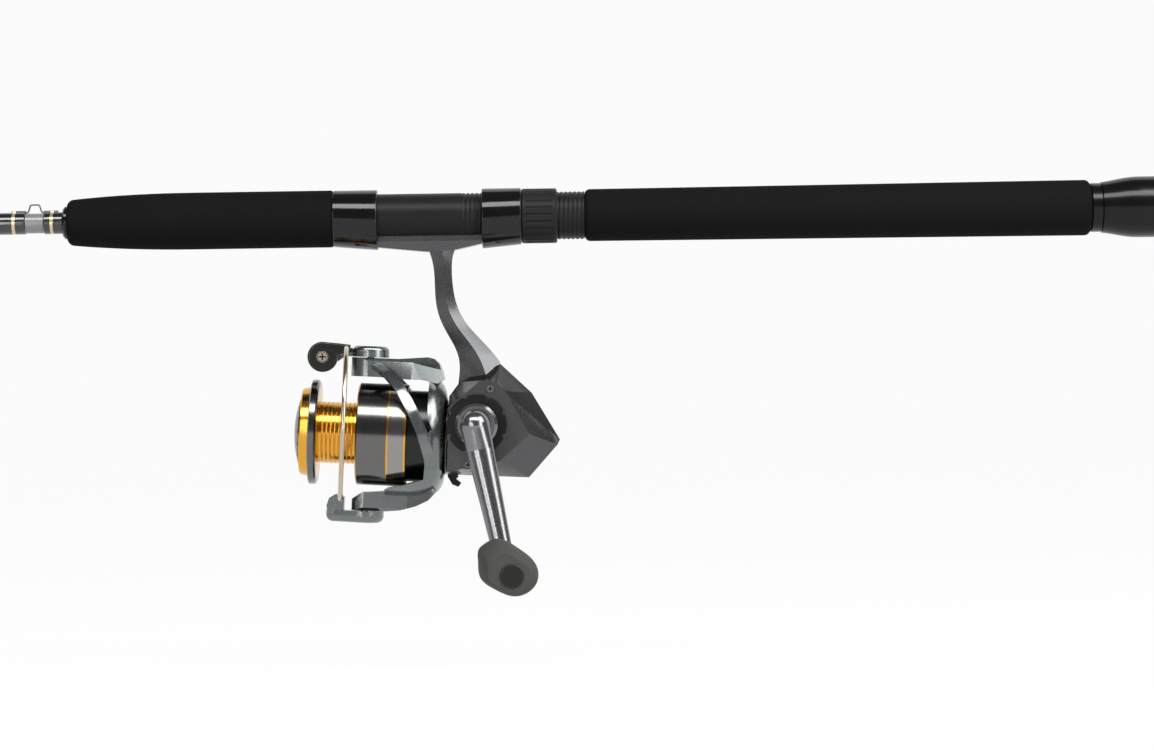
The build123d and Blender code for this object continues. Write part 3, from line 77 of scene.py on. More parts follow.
# Trim bands on the keeper wraps, in metres along the rod
WRAP_BANDS = ((0.49995, 0.5013), (0.5170, 0.5184))
# Colour bands of the spool, in millimetres along u
SKIRT_FRONT = 53.2
LIP_BAND = (71.0, 74.95)
GREY_BAND = (32.0, 39.0)
GOLD_LINES = ((39.0, 39.8), (31.0, 32.0))
# Rounding of the rotor and bail castings against the other cast edges
ROTOR_EDGE_SHARE = 2.2
# Merging, flattening, shading and rounding of cast edges
MERGE_DISTANCE = 2e-6
FLAT_ANGLE, SHARP_ANGLE, BEVEL_ANGLE = math.radians(1.5), math.radians(50), math.radians(20)

# Metals and trim that a user would leave alone
GUIDE_PLATE = (0.11, 0.11, 0.115)
CERAMIC = (0.018, 0.018, 0.02)
BRIGHT_STEEL = (0.55, 0.55, 0.55)
SCREW_STEEL = (0.24, 0.235, 0.225)
PIN_STEEL = (0.5, 0.42, 0.34)
GEAR_BRASS = (0.7, 0.5, 0.22)
SKIRT_DARK = (0.15, 0.148, 0.145)
SKIRT_GREY = (0.3, 0.29, 0.28)
PAPER = (0.86, 0.86, 0.86)

# Backdrop in metres: floor height, wall distance, the bend between them,
# reach of the floor to the front and to each side, wall height
FLOOR, WALL, BEND, REACH, WALL_TOP = -0.205, 14.0, 2.0, 40.0, 24.0
BEND_STEPS = 8
# Share of the paper that glows white where it is seen, the rest takes shadow
PAPER_GLOW = 0.96
SKY_STRENGTH = 0.11
# Soft boxes: name, place, aim and size in metres, power in watts
LAMPS = (
    ("top_box", (0.35, 0.75, 0.95), (0.3, 0.0, -0.05), (1.5, 0.4), 19.0),
    ("front_box", (1.1, 1.2, 0.3), (0.3, 0.0, -0.08), (0.35, 0.8), 3.5),
    ("side_strip", (0.8, 1.4, 0.02), (0.3, 0.0, -0.1), (0.12, 0.7), 2.6),
    ("rear_box", (-0.5, 0.75, 0.05), (0.3, 0.0, -0.1), (0.4, 0.8), 4.5),
    ("crown_box", (-0.5, 0.4, 0.72), (0.3, 0.0, -0.1), (0.7, 0.8), 10.0),
)
# Camera: place and width of the view at the rod in metres, roll, sensor in millimetres
CAMERA_PLACE = (0.26568, 1.6, -0.07186)
VIEW_WIDTH = 0.5193
CAMERA_ROLL = math.radians(0.865)
SENSOR = 36.0


def reel_point(u, v, w):
    """Point in metres from reel coordinates in millimetres."""
    return REEL_ORIGIN + REEL_U * (u / 1000) + Vector((0, v / 1000, 0)) + REEL_W * (w / 1000)


class Maths:
    """A value socket that writes Math nodes from Python operators."""

    def __init__(self, shader, socket):
        self.shader = shader
        self.socket = socket

    def _join(self, operation, first, second=None):
        values = {0: first}
        if second is not None:
            values[1] = second
        return self.shader.node("ShaderNodeMath", {"operation": operation}, values)

    def __add__(self, other):
        return self._join("ADD", self, other)

    def __radd__(self, other):
        return self._join("ADD", other, self)

    def __sub__(self, other):
        return self._join("SUBTRACT", self, other)

    def __rsub__(self, other):
        return self._join("SUBTRACT", other, self)

    def __mul__(self, other):
        return self._join("MULTIPLY", self, other)

    def __rmul__(self, other):
        return self._join("MULTIPLY", other, self)

    def __truediv__(self, other):
        return self._join("DIVIDE", self, other)

    def __gt__(self, other):
        return self._join("GREATER_THAN", self, other)

    def __lt__(self, other):
        return self._join("LESS_THAN", self, other)

    def absolute(self):
        """Size without sign."""
        return self._join("ABSOLUTE", self)

    def sine(self):
        """Sine of the value."""
        return self._join("SINE", self)

    def cosine(self):
        """Cosine of the value."""
        return self._join("COSINE", self)

    def fraction(self):
        """Part after the point."""
        return self._join("FRACT", self)

    def clamped(self):
        """Value held between 0 and 1."""
        return self._join("MINIMUM", self._join("MAXIMUM", self, 0.0), 1.0)

    def between(self, low, high):
        """One inside the span, zero outside."""
        return (self > low) * (self < high)


class Graph:
    """A node tree, with one way to add a node and feed its sockets."""

    def __init__(self, tree):
        self.tree = tree

    def node(self, kind, settings=None, values=None, out=0):
        """Add a node, set it up, feed its sockets and return one output."""
        made = self.tree.nodes.new(kind)
        for key, value in (settings or {}).items():
            setattr(made, key, value)
        for key, value in (values or {}).items():
            self.feed(made.inputs[key], value)
        return Maths(self, made.outputs[out])

    def feed(self, socket, value):
        """Link one wrapped socket or a list of them, or set a plain value."""
        if isinstance(value, list):
            for item in value:
                self.feed(socket, item)
        elif isinstance(value, Maths):
            self.tree.links.new(value.socket, socket)
        else:
            socket.default_value = value


class Form(Graph):
    """A geometry node tree whose sizes are named inputs."""

    def __init__(self, name, sizes):
        super().__init__(bpy.data.node_groups.new(name, "GeometryNodeTree"))
        face = self.tree.interface
        face.new_socket("Mesh", in_out="OUTPUT", socket_type="NodeSocketGeometry")
        self.keys = {}
        self.sizes = sizes
        kinds = {
            label: "NodeSocketInt" if isinstance(value, int) else "NodeSocketFloat"
            for label, value in sizes.items()
        }
        for label, kind in {**kinds, "Material": "NodeSocketMaterial"}.items():
            socket = face.new_socket(label, in_out="INPUT", socket_type=kind)
            self.keys[label] = socket.identifier
        self.entry = self.tree.nodes.new("NodeGroupInput")
        self.end = self.tree.nodes.new("NodeGroupOutput")

    def given(self, label):
        """One of the named inputs."""
        return Maths(self, self.entry.outputs[label])

    def ring(self, radius, sides, bead, bead_sides):
        """Round bead bent to a circle."""
        circle = "GeometryNodeCurvePrimitiveCircle"
        path = self.node(circle, None, {"Resolution": sides, "Radius": radius})
        section = self.node(circle, None, {"Resolution": bead_sides, "Radius": bead})
        return self.node(
            "GeometryNodeCurveToMesh", None, {"Curve": path, "Profile Curve": section}
        )

    def close(self, mesh):
        """End the tree in realised, smooth geometry with its material."""
        whole = self.node("GeometryNodeRealizeInstances", None, {"Geometry": mesh})
        smooth = self.node("GeometryNodeSetShadeSmooth", None, {"Geometry": whole})
        dressed = self.node(
            "GeometryNodeSetMaterial", None,
            {"Geometry": smooth, "Material": self.given("Material")},
        )
        self.tree.links.new(dressed.socket, self.end.inputs[0])

    def piece(self, name, material, body, place=None):
        """Run the tree once and keep its result as a plain mesh on a body."""
        holder = bpy.data.objects.new(name + "_form", bpy.data.meshes.new(name + "_form"))
        bpy.context.scene.collection.objects.link(holder)
        modifier = holder.modifiers.new("form", "NODES")
        modifier.node_group = self.tree
        for label, value in self.sizes.items():
            modifier[self.keys[label]] = value
        modifier[self.keys["Material"]] = material
        ready = holder.evaluated_get(bpy.context.evaluated_depsgraph_get())
        data = bpy.data.meshes.new_from_object(ready)
        bpy.data.objects.remove(holder)
        if place:
            data.transform(place)
        face_outward(data)
        return keep_mesh(name, data, material, body)


class Finish(Graph):
    """One material and the few ways its nodes are joined."""

    def __init__(self, name):
        self.material = bpy.data.materials.new(name)
        self.material.use_nodes = True
        super().__init__(self.material.node_tree)
        self.tree.nodes.clear()
        self.surface = self.tree.nodes.new("ShaderNodeBsdfPrincipled")
        self.output = self.tree.nodes.new("ShaderNodeOutputMaterial")
        self.tree.links.new(self.surface.outputs[0], self.output.inputs[0])
        self.place = self.node("ShaderNodeTexCoord", out="Object")

    def set(self, **values):
        """Feed the surface's own sockets."""
        for key, value in values.items():
            self.feed(self.surface.inputs[key.replace("_", " ")], value)

    def noise(self, scale, detail=2.0, rough=0.5, stretch=None):
        """Soft noise at a scale per metre, about 0 to 1."""
        place = self.place
        if stretch:
            place = self.node("ShaderNodeMapping", None, {"Vector": place, "Scale": stretch})
        return self.node(
            "ShaderNodeTexNoise", None,
            {"Vector": place, "Scale": scale, "Detail": detail, "Roughness": rough},
        )

    def along(self, direction, origin=(0, 0, 0)):
        """Distance in metres along a direction from a point."""
        offset = self.node(
            "ShaderNodeVectorMath", {"operation": "SUBTRACT"},
            {0: self.place, 1: tuple(origin)},
        )
        return self.node(
            "ShaderNodeVectorMath", {"operation": "DOT_PRODUCT"},
            {0: offset, 1: tuple(direction)}, out="Value",
        )

    def mix(self, factor, first, second):
        """Blend of two colours."""
        return self.node(
            "ShaderNodeMix", {"data_type": "RGBA"}, {0: factor, 6: first, 7: second}, out=2
        )

    def mottle(self, factor, colour, low, high):
        """One colour that runs from a darker to a lighter tone of itself."""
        return self.mix(factor, tone(colour, low), tone(colour, high))

    def bump(self, height, strength, distance):
        """Bump from a height and hand it to the surface."""
        normal = self.node(
            "ShaderNodeBump", None,
            {"Height": height, "Strength": strength, "Distance": distance}, out="Normal",
        )
        self.feed(self.surface.inputs["Normal"], normal)


def tone(colour, factor=1.0):
    """Colour with alpha, made lighter or darker."""
    return (colour[0] * factor, colour[1] * factor, colour[2] * factor, 1.0)


def around(centre, factor, swing):
    """Value that swings evenly about a centre as a factor runs from 0 to 1."""
    return centre - swing / 2 + factor * swing


def foam(name, colour):
    """Dense closed-cell foam with a fine open grain."""
    made = Finish(name)
    grain = made.noise(2600.0, detail=3.0, rough=0.6)
    cloud = made.noise(60.0)
    made.set(Base_Color=made.mottle(grain * 0.6 + cloud * 0.4, colour, low=0.72, high=1.35))
    made.set(Roughness=around(0.82, grain, swing=0.16), Specular_IOR_Level=0.04)
    made.bump(grain, strength=0.35, distance=0.00012)
    return made.material


def moulded(name, colour, rough, coat=0.0, grain=0.08, gloss=0.28):
    """Moulded plastic with a faint texture and handling variation."""
    made = Finish(name)
    fine = made.noise(1800.0)
    cloud = made.noise(90.0, detail=3.0)
    made.set(Base_Color=made.mottle(cloud, colour, low=0.85, high=1.18))
    made.set(Roughness=around(rough, cloud, swing=0.1), Specular_IOR_Level=gloss)
    made.set(Coat_Weight=coat, Coat_Roughness=0.08)
    made.bump(fine, strength=grain, distance=0.0001)
    return made.material


def metallic_paint(name, colour, rough, metal, coat=0.25, shaded=None):
    """Flake paint on a casting, with painted shade within a radius of the spool's axis where one
    is given.
    """
    made = Finish(name)
    flake = made.node(
        "ShaderNodeTexVoronoi", None, {"Vector": made.place, "Scale": 5200.0}, out="Color"
    )
    spark = made.node("ShaderNodeSeparateColor", None, {"Color": flake})
    cloud = made.noise(140.0, detail=3.0)
    paint = made.mottle(spark * 0.4 + cloud * 0.6, colour, low=0.9, high=1.1)
    # Painted shade: inside the given radius round the spool's axis the paint turns dark, standing
    # in for the shadow in the rotor's cup behind the skirt.
    if shaded:
        side = made.along((0, 1, 0), REEL_ORIGIN)
        rise = made.along(REEL_W, REEL_ORIGIN)
        inside = side * side + rise * rise < shaded * shaded
        paint = made.mix(inside, paint, tone(colour, 0.12))
    made.set(Base_Color=paint, Metallic=metal)
    made.set(Roughness=around(rough, spark * 0.6 + cloud * 0.4, swing=0.1))
    made.set(Coat_Weight=coat, Coat_Roughness=0.12)
    made.bump(cloud, strength=0.01, distance=0.0001)
    return made.material


def bare_metal(name, colour, rough):
    """Turned or drawn metal with fine scratches."""
    made = Finish(name)
    scratch = made.noise(900.0, detail=4.0, rough=0.65)
    made.set(Base_Color=made.mottle(scratch, colour, low=0.86, high=1.08))
    made.set(Metallic=1.0, Roughness=around(rough, scratch, swing=0.1))
    made.bump(scratch, strength=0.04, distance=0.00005)
    return made.material


def colour_setting(label, words, value):
    """Colour property with its name, description and default."""
    return bpy.props.FloatVectorProperty(
        name=label, description=words, subtype="COLOR", size=3, min=0.0, max=1.0, default=value
    )


def length_setting(label, words, value):
    """Length property in metres with its name, description and default."""
    return bpy.props.FloatProperty(name=label, description=words, default=value, unit="LENGTH")


class RodColours(bpy.types.PropertyGroup):
    """Colours a user would change."""

    foam: colour_setting("Foam", "Grip foam", (0.005, 0.005, 0.0052))
    cap: colour_setting("Cap", "Butt cap and lock nut", (0.0125, 0.0125, 0.0132))
    seat: colour_setting("Seat", "Seat barrel", (0.0095, 0.0095, 0.0102))
    hood: colour_setting("Hood", "Seat hoods", (0.003, 0.003, 0.0031))
    blank: colour_setting("Blank", "Bare blank", (0.15, 0.148, 0.146))
    wrap: colour_setting("Wrap", "Thread wraps", (0.008, 0.008, 0.009))
    band: colour_setting("Band", "Trim bands on the wraps", (0.6, 0.46, 0.26))
    case: colour_setting("Case", "Gear case", (0.088, 0.089, 0.092))
    guard: colour_setting("Guard", "Rear guard", (0.055, 0.056, 0.059))
    rotor: colour_setting("Rotor", "Rotor and bail arms", (0.175, 0.188, 0.19))
    crank: colour_setting("Crank", "Crank arm", (0.2, 0.201, 0.208))
    gold: colour_setting("Gold", "Anodised spool", (0.74, 0.38, 0.055))
    wire: colour_setting("Wire", "Bail wire", (0.56, 0.47, 0.35))
    knob: colour_setting("Knob", "Crank knob", (0.04, 0.041, 0.035))


class RodSizes(bpy.types.PropertyGroup):
    """Sizes of the fine detail."""

    thread_pitch: length_setting("Thread pitch", "Seat thread pitch", 0.002)
    thread_depth: length_setting("Thread depth", "Seat thread depth", 0.00042)
    ridge_count: bpy.props.IntProperty(
        name="Arbor ridges", description="Ridges round the spool arbor", default=8
    )
    ridge_size: length_setting("Ridge size", "Half thickness of an arbor ridge", 0.00042)
    edge: length_setting("Edge", "Rounding of cast edges", 0.00045)
    # Radius of the painted shade inside the rotor's cup
    shade_radius: length_setting("Shade radius", "Radius inside which the rotor is dark", 0.0214)
    wrap_pitch: length_setting("Wrap pitch", "Thread to thread on the wraps", 0.00028)


def dress(material, *names):
    """Give CAD nodes one material."""
    for name in names:
        piece = NODES[name]
        piece.data.materials.clear()
        piece.data.materials.append(material)


def body_of(node):
    """Name of the body that a CAD node belongs to."""
    groups = frame["record"]["behaviour"]["bodies"]
    return next(body for body, nodes in groups.items() if node in nodes)


def face_outward(data):
    """Join doubled points and turn the faces outward."""
    work = bmesh.new()
    work.from_mesh(data)
    bmesh.ops.remove_doubles(work, verts=work.verts, dist=1e-6)
    bmesh.ops.recalc_face_normals(work, faces=work.faces)
    work.to_mesh(data)
    work.free()
    data.shade_smooth()


def keep_mesh(name, data, material, body):
    """Let a finished mesh ride on a body."""
    data.name = name
    data.materials.clear()
    data.materials.append(material)
    made = bpy.data.objects.new(name, data)
    bpy.context.scene.collection.objects.link(made)
    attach(made, body)
    return made


def softened(node, width, material):
    """Copy of a CAD node with rounded edges, in the node's place."""
    work = bmesh.new()
    work.from_mesh(NODES[node].data)
    bmesh.ops.remove_doubles(work, verts=work.verts, dist=MERGE_DISTANCE)
    bmesh.ops.dissolve_limit(work, angle_limit=FLAT_ANGLE, verts=work.verts, edges=work.edges)
    data = bpy.data.meshes.new(node + "_edges")
    work.to_mesh(data)
    work.free()
    data.shade_smooth()
    data.set_sharp_from_angle(angle=SHARP_ANGLE)
    holder = bpy.data.objects.new(node + "_edges", data)
    bpy.context.scene.collection.objects.link(holder)
    bevel = holder.modifiers.new("edges", "BEVEL")
    bevel.width = width
    bevel.segments = 3
    bevel.limit_method = "ANGLE"
    bevel.angle_limit = BEVEL_ANGLE
    shading = holder.modifiers.new("shading", "WEIGHTED_NORMAL")
    shading.weight = 80
    ready = holder.evaluated_get(bpy.context.evaluated_depsgraph_get())
    result = bpy.data.meshes.new_from_object(ready)
    bpy.data.objects.remove(holder)
    made = keep_mesh(node + "_soft", result, material, body_of(node))
    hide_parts(node)


def screw_face(name, node, spot, material):
    """Dark cross and rim line laid on the outer face of a screw at (u, w), painted shade standing
    in for its recess.
    """
    centre = reel_point(spot[0], 0, spot[1])

    def reach(point):
        """Distance of a point from the screw's middle."""
        return math.hypot(point.x - centre.x, point.z - centre.z)

    points = [vertex.co for vertex in NODES[node].data.vertices]
    near = [point for point in points if reach(point) < SCREW_REACH]
    top = max(point.y for point in near)
    face = [point for point in near if point.y > top - FACE_DEPTH]
    form = Form("screw_face", {"Radius": max(map(reach, face)), "Rise": 0.0001})
    radius = form.given("Radius")
    size = form.node(
        "ShaderNodeCombineXYZ", None,
        {0: radius * CROSS_LENGTH, 1: radius * CROSS_WIDTH, 2: form.given("Rise")},
    )
    bar = form.node("GeometryNodeMeshCube", None, {"Size": size})
    across = form.node(
        "GeometryNodeTransform", None, {"Geometry": bar, "Rotation": (0, 0, math.pi / 2)}
    )
    ring = form.ring(radius * RIM_RADIUS, 40, radius * RIM_BEAD, 6)
    form.close(form.node("GeometryNodeJoinGeometry", None, {0: [bar, across, ring]}))
    flat = Matrix.Rotation(math.radians(-90), 4, "X")
    place = Matrix.Translation((centre.x, top, centre.z)) @ flat
    form.piece(name, material, body_of(node), place)


class ROD_OT_grips(bpy.types.Operator):
    """Foam grips, butt cap and trim ring"""

    bl_idname = "rod.grips"
    bl_label = "Grips and butt"

    def execute(self, context):
        colours = context.scene.rod_colours
        dress(foam("grip_foam", colours.foam), "rear_grip", "foregrip")
        butt = moulded("butt_plastic", colours.hood, 0.2, coat=0.1, grain=0.02, gloss=0.2)
        dress(butt, "butt_cap", "butt_ring")
        return {"FINISHED"}


class ROD_OT_seat(bpy.types.Operator):
    """Threaded seat barrel, hoods and lock nut"""

    bl_idname = "rod.seat"
    bl_label = "Reel seat"

    def execute(self, context):
        colours = context.scene.rod_colours
        sizes = context.scene.rod_sizes
        seat = moulded("seat_plastic", colours.seat, 0.36, gloss=0.1)
        dress(seat, "seat_arbors")
        low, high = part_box("seat_barrel")
        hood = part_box("sliding_hood")[1]
        form = Form("threaded_barrel", {
            "Start": low[0], "Length": high[0] - low[0], "Radius": high[2], "Bore": 0.0082,
            "Pitch": sizes.thread_pitch, "Depth": sizes.thread_depth,
            "Thread end": hood[0] + THREAD_PAST_HOOD, "Rows": 360, "Sides": 65,
        })
        rows = form.given("Rows")
        grid = form.node(
            "GeometryNodeMeshGrid", None,
            {"Size X": 1.0, "Size Y": 1.0, "Vertices X": rows, "Vertices Y": form.given("Sides")},
        )
        spot = form.node("GeometryNodeInputPosition")
        across = form.node("ShaderNodeSeparateXYZ", None, {0: spot}, out="X") + 0.5
        turn = form.node("ShaderNodeSeparateXYZ", None, {0: spot}, out="Y") + 0.5
        # Row 0 and the last two rows lie on the bore, so the grid closes on itself
        row = across * (rows - 1.0)
        outer = (row > 0.5) * (row < rows - 2.5)
        share = ((row - 1.0) / (rows - 4.0)).clamped() * (row < rows - 1.5)
        run = form.given("Start") + form.given("Length") * share
        phase = (run / form.given("Pitch") + turn).fraction()
        crest = ((phase - 0.5).absolute() * THREAD_FLANK - THREAD_ROOT).clamped()
        cut = form.given("Depth") * (1.0 - crest) * (run < form.given("Thread end"))
        radius = form.given("Bore") * (1.0 - outer) + (form.given("Radius") - cut) * outer
        angle = turn * (2 * math.pi)
        place = form.node(
            "ShaderNodeCombineXYZ", None,
            {0: run, 1: radius * angle.cosine(), 2: radius * angle.sine()},
        )
        moved = form.node("GeometryNodeSetPosition", None, {"Geometry": grid, "Position": place})
        form.close(form.node(
            "GeometryNodeMergeByDistance", None, {"Geometry": moved, "Distance": 1e-6}
        ))
        barrel = form.piece("seat_thread", seat, "rod")
        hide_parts("seat_barrel")
        dress(moulded("nut_plastic", colours.cap, 0.42, gloss=0.08), "lock_nut")
        gloss = moulded("hood_gloss", colours.hood, 0.12, coat=0.15, grain=0.02, gloss=0.3)
        dress(gloss, "front_hood", "sliding_hood", "winding_check")
        return {"FINISHED"}


class ROD_OT_blank(bpy.types.Operator):
    """Blank, thread wraps, keeper and guides"""

    bl_idname = "rod.blank"
    bl_label = "Blank and guides"

    def execute(self, context):
        colours = context.scene.rod_colours
        sizes = context.scene.rod_sizes
        blank = Finish("blank_coat")
        cloth = blank.noise(700.0, detail=3.0, rough=0.6, stretch=(0.25, 1.0, 1.0))
        blank.set(Base_Color=blank.mottle(cloth, colours.blank, low=0.86, high=1.12))
        blank.set(Roughness=around(0.35, cloth, swing=0.1), Coat_Weight=0.6, Coat_Roughness=0.06)
        dress(blank.material, "blank")
        wrap = Finish("wrap_thread")
        run = wrap.along((1, 0, 0))
        bands = run.between(*WRAP_BANDS[0]) + run.between(*WRAP_BANDS[1])
        thread = (run * (2 * math.pi / sizes.wrap_pitch)).sine()
        wrap.set(Base_Color=wrap.mix(bands, tone(colours.wrap), tone(colours.band)))
        wrap.set(Roughness=0.16 + thread * 0.04, Metallic=bands * 0.7)
        wrap.set(Coat_Weight=0.8, Coat_Roughness=0.05)
        wrap.bump(thread, strength=0.12, distance=0.00004)
        dress(wrap.material, "keeper_wraps", "guide_wraps")
        dress(
            bare_metal("guide_plate", GUIDE_PLATE, 0.24),
            "guide_1", "guide_2", "guide_3", "guide_4", "guide_5", "tip_top", "hook_keeper",
        )
        dress(moulded("ring_ceramic", CERAMIC, 0.1, coat=0.5, grain=0.01), "guide_rings")
        return {"FINISHED"}


class ROD_OT_case(bpy.types.Operator):
    """Gear case, cover, guard and the parts inside"""

    bl_idname = "rod.case"
    bl_label = "Gear case"

    def execute(self, context):
        colours = context.scene.rod_colours
        edge = context.scene.rod_sizes.edge
        paint = metallic_paint("case_paint", colours.case, 0.27, metal=0.92)
        softened("reel_body", edge, paint)
        softened("side_cover", edge, paint)
        guard = metallic_paint("guard_paint", colours.guard, 0.27, metal=0.92)
        softened("rear_guard", edge, guard)
        dress(moulded("collar_plastic", colours.hood, 0.36), "crank_collar", "anti_reverse_lever")
        dress(
            bare_metal("bright_steel", BRIGHT_STEEL, 0.24),
            "drive_bearings", "pinion_bearing", "main_shaft", "crank_shaft", "rotor_nut",
            "line_roller", "knob_spindle", "drag_washers",
        )
        dress(bare_metal("screw_steel", SCREW_STEEL, 0.3), "side_screws", "bail_pivots")
        recess = moulded("recess_shade", colours.hood, 0.5)
        # Painted shade: dark crosses and rims laid on the screw heads where their recesses lie in
        # shadow
        for number, spot in enumerate(SCREW_SPOTS, 1):
            screw_face(f"screw_face_{number}", "side_screws", spot, recess)
        dress(bare_metal("gear_brass", GEAR_BRASS, 0.3), "pinion", "drive_gear")
        dress(moulded("slider_plastic", colours.cap, 0.5), "oscillation_slider")
        return {"FINISHED"}


class ROD_OT_rotor(bpy.types.Operator):
    """Rotor, bail, roller and crank"""

    bl_idname = "rod.rotor"
    bl_label = "Rotor, bail and crank"

    def execute(self, context):
        colours = context.scene.rod_colours
        sizes = context.scene.rod_sizes
        # The rotor paint carries painted shade round the spool's axis, inside shade_radius
        paint = metallic_paint(
            "rotor_paint", colours.rotor, 0.25, metal=0.95, shaded=sizes.shade_radius
        )
        for node in ("rotor", "bail_arm", "bail_lever"):
            softened(node, sizes.edge * ROTOR_EDGE_SHARE, paint)
        dress(metallic_paint("crank_paint", colours.crank, 0.2, metal=0.92), "crank_arm")
        cap = moulded("cap_plastic", colours.hood, 0.3, coat=0.3)
        softened("roller_cap", sizes.edge, cap)
        dress(bare_metal("pin_steel", PIN_STEEL, 0.26), "roller_screw")
        # Painted shade: a dark cross in the cap's black plastic stands in for the roller screw's
        # shadowed recess
        screw_face("roller_screw_face", "roller_screw", ROLLER_SPOT, cap)
        dress(cap, "knob_cap")
        dress(bare_metal("wire_steel", colours.wire, 0.2), "bail_wire")
        dress(moulded("knob_rubber", colours.knob, 0.62, grain=0.2), "knob")
        return {"FINISHED"}


class ROD_OT_spool(bpy.types.Operator):
    """Two-tone spool and the drag knob"""

    bl_idname = "rod.spool"
    bl_label = "Spool and drag"

    def execute(self, context):
        colours = context.scene.rod_colours
        sizes = context.scene.rod_sizes
        made = Finish("spool_anodised")
        run = made.along(REEL_U, REEL_ORIGIN) * 1000.0
        lines = run.between(*GOLD_LINES[0]) + run.between(*GOLD_LINES[1])
        dark = ((run < SKIRT_FRONT) + run.between(*LIP_BAND)) * (1.0 - lines)
        turned = made.noise(900.0, detail=4.0, rough=0.6)
        gold = made.mottle(turned, colours.gold, low=0.86, high=1.1)
        skirt = made.mix(run.between(*GREY_BAND), tone(SKIRT_DARK), tone(SKIRT_GREY))
        made.set(Base_Color=made.mix(dark, gold, skirt))
        made.set(Metallic=1.0, Roughness=around(0.17, turned, swing=0.08))
        made.bump(turned, strength=0.05, distance=0.00005)
        dress(made.material, "spool")
        form = Form("arbor_ridges", {
            "Radius": 0.01355, "Size": sizes.ridge_size, "Count": sizes.ridge_count,
            "Start": 0.0556, "Step": 0.0019,
        })
        tube = form.ring(form.given("Radius"), 96, form.given("Size"), 8)
        step = form.node("ShaderNodeCombineXYZ", None, {2: form.given("Step")})
        first = form.node("ShaderNodeCombineXYZ", None, {2: form.given("Start")})
        spots = form.node(
            "GeometryNodeMeshLine", None,
            {"Count": form.given("Count"), "Start Location": first, "Offset": step},
        )
        form.close(form.node(
            "GeometryNodeInstanceOnPoints", None, {"Points": spots, "Instance": tube}
        ))
        turn = REEL_U.to_track_quat("Z", "Y").to_matrix().to_4x4()
        toward = Matrix.Translation(REEL_ORIGIN) @ turn
        form.piece("arbor_ridges", made.material, "spool", toward)
        dress(moulded("drag_plastic", colours.guard, 0.3, coat=0.3), "drag_knob")
        return {"FINISHED"}


def area_light(name, place, aim, size, power):
    """Soft box aimed at a point."""
    lamp = bpy.data.lights.new(name, "AREA")
    lamp.shape = "RECTANGLE"
    lamp.size, lamp.size_y = size
    lamp.energy = power
    made = bpy.data.objects.new(name, lamp)
    bpy.context.scene.collection.objects.link(made)
    made.location = place
    made.rotation_euler = (Vector(aim) - Vector(place)).to_track_quat("-Z", "Y").to_euler()


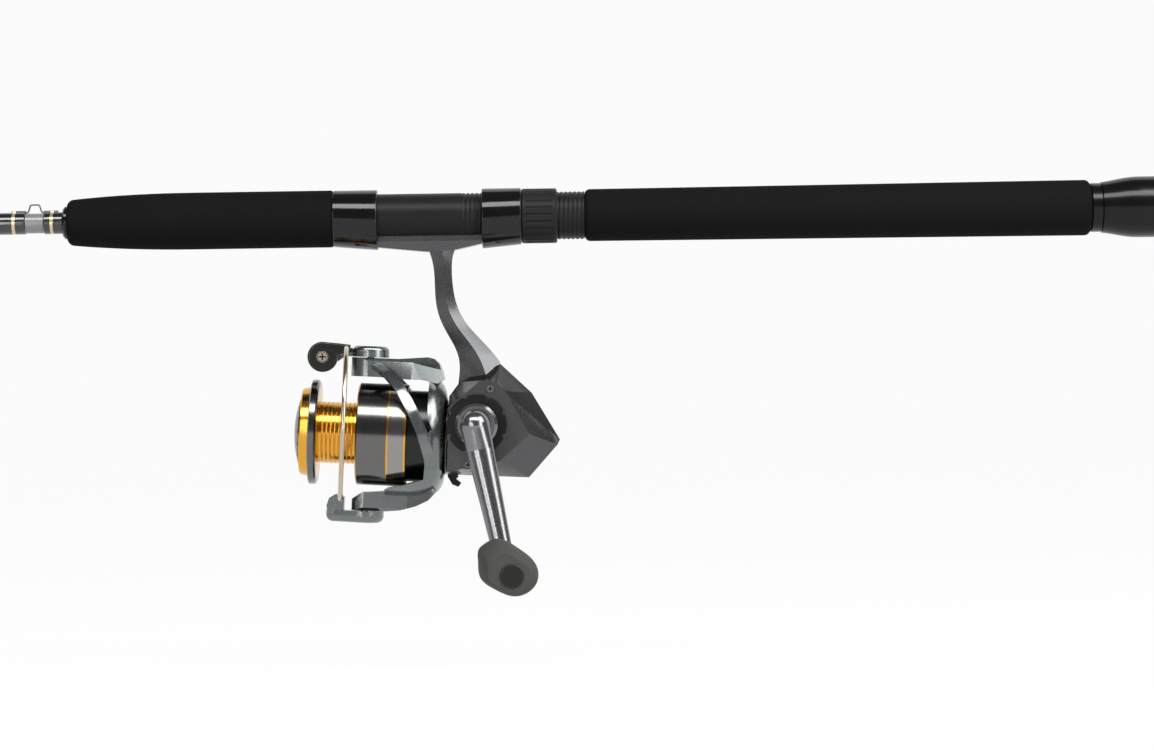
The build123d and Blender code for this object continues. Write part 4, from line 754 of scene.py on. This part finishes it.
class ROD_OT_stage(bpy.types.Operator):
    """Floor, backdrop, light and camera"""

    bl_idname = "rod.stage"
    bl_label = "Stage"

    def execute(self, context):
        scene = context.scene
        scene.view_settings.view_transform = "Standard"
        paper = Finish("paper")
        paper.set(Base_Color=tone(PAPER), Roughness=0.9)
        seen = paper.node("ShaderNodeLightPath", out="Is Camera Ray")
        seen = seen + paper.node("ShaderNodeLightPath", out="Is Glossy Ray")
        seen = seen + paper.node("ShaderNodeLightPath", out="Is Transmission Ray")
        glow = paper.node("ShaderNodeEmission", None, {"Color": (1, 1, 1, 1), "Strength": 1.0})
        plain = Maths(paper, paper.surface.outputs[0])
        both = paper.node("ShaderNodeMixShader", None, {0: seen * PAPER_GLOW, 1: plain, 2: glow})
        paper.feed(paper.output.inputs[0], both)
        rail = [(REACH, FLOOR), (BEND - WALL, FLOOR)]
        for step in range(1, BEND_STEPS + 1):
            turn = step * math.pi / 2 / BEND_STEPS
            rail.append((
                BEND - WALL - BEND * math.sin(turn), FLOOR + BEND * (1 - math.cos(turn))
            ))
        rail.append((-WALL, WALL_TOP))
        work = bmesh.new()
        rows = [[work.verts.new((x, y, z)) for y, z in rail] for x in (-REACH, REACH)]
        for index in range(len(rail) - 1):
            work.faces.new((
                rows[0][index], rows[1][index], rows[1][index + 1], rows[0][index + 1]
            ))
        data = bpy.data.meshes.new("backdrop")
        work.to_mesh(data)
        work.free()
        data.materials.append(paper.material)
        backdrop = bpy.data.objects.new("backdrop", data)
        scene.collection.objects.link(backdrop)
        scene.world = bpy.data.worlds.new("studio")
        scene.world.use_nodes = True
        sky = scene.world.node_tree.nodes["Background"]
        sky.inputs["Color"].default_value = (1, 1, 1, 1)
        sky.inputs["Strength"].default_value = SKY_STRENGTH
        for lamp in LAMPS:
            area_light(*lamp)
        eye = bpy.data.cameras.new("camera")
        eye.sensor_width = SENSOR
        eye.lens = SENSOR * CAMERA_PLACE[1] / VIEW_WIDTH
        eye.clip_end = 50.0
        camera = bpy.data.objects.new("camera", eye)
        scene.collection.objects.link(camera)
        right = Vector((-math.cos(CAMERA_ROLL), 0, -math.sin(CAMERA_ROLL)))
        up = Vector((-math.sin(CAMERA_ROLL), 0, math.cos(CAMERA_ROLL)))
        back = Vector((0, 1, 0))
        turn = Matrix((right, up, back)).transposed().to_4x4()
        camera.matrix_world = Matrix.Translation(CAMERA_PLACE) @ turn
        scene.camera = camera
        return {"FINISHED"}


class ROD_PT_panel(bpy.types.Panel):
    """Steps that finish the rod and reel"""

    bl_label = "Rod and reel"
    bl_idname = "ROD_PT_panel"
    bl_space_type = "VIEW_3D"
    bl_region_type = "UI"
    bl_category = "Rod"

    def draw(self, context):
        for step in STEPS:
            self.layout.operator(step.bl_idname)


STEPS = (
    ROD_OT_grips, ROD_OT_seat, ROD_OT_blank, ROD_OT_case, ROD_OT_rotor, ROD_OT_spool, ROD_OT_stage,
)
CLASSES = (RodColours, RodSizes) + STEPS + (ROD_PT_panel,)


def register():
    """Add the classes and the scene's settings."""
    for item in CLASSES:
        bpy.utils.register_class(item)
    bpy.types.Scene.rod_colours = bpy.props.PointerProperty(type=RodColours)
    bpy.types.Scene.rod_sizes = bpy.props.PointerProperty(type=RodSizes)


def unregister():
    """Take the classes out again."""
    del bpy.types.Scene.rod_sizes
    del bpy.types.Scene.rod_colours
    for item in reversed(CLASSES):
        bpy.utils.unregister_class(item)


def main():
    """Run every step."""
    register()
    for step in STEPS:
        group, name = step.bl_idname.split(".")
        getattr(getattr(bpy.ops, group), name)()


if __name__ == "__main__":
    main()
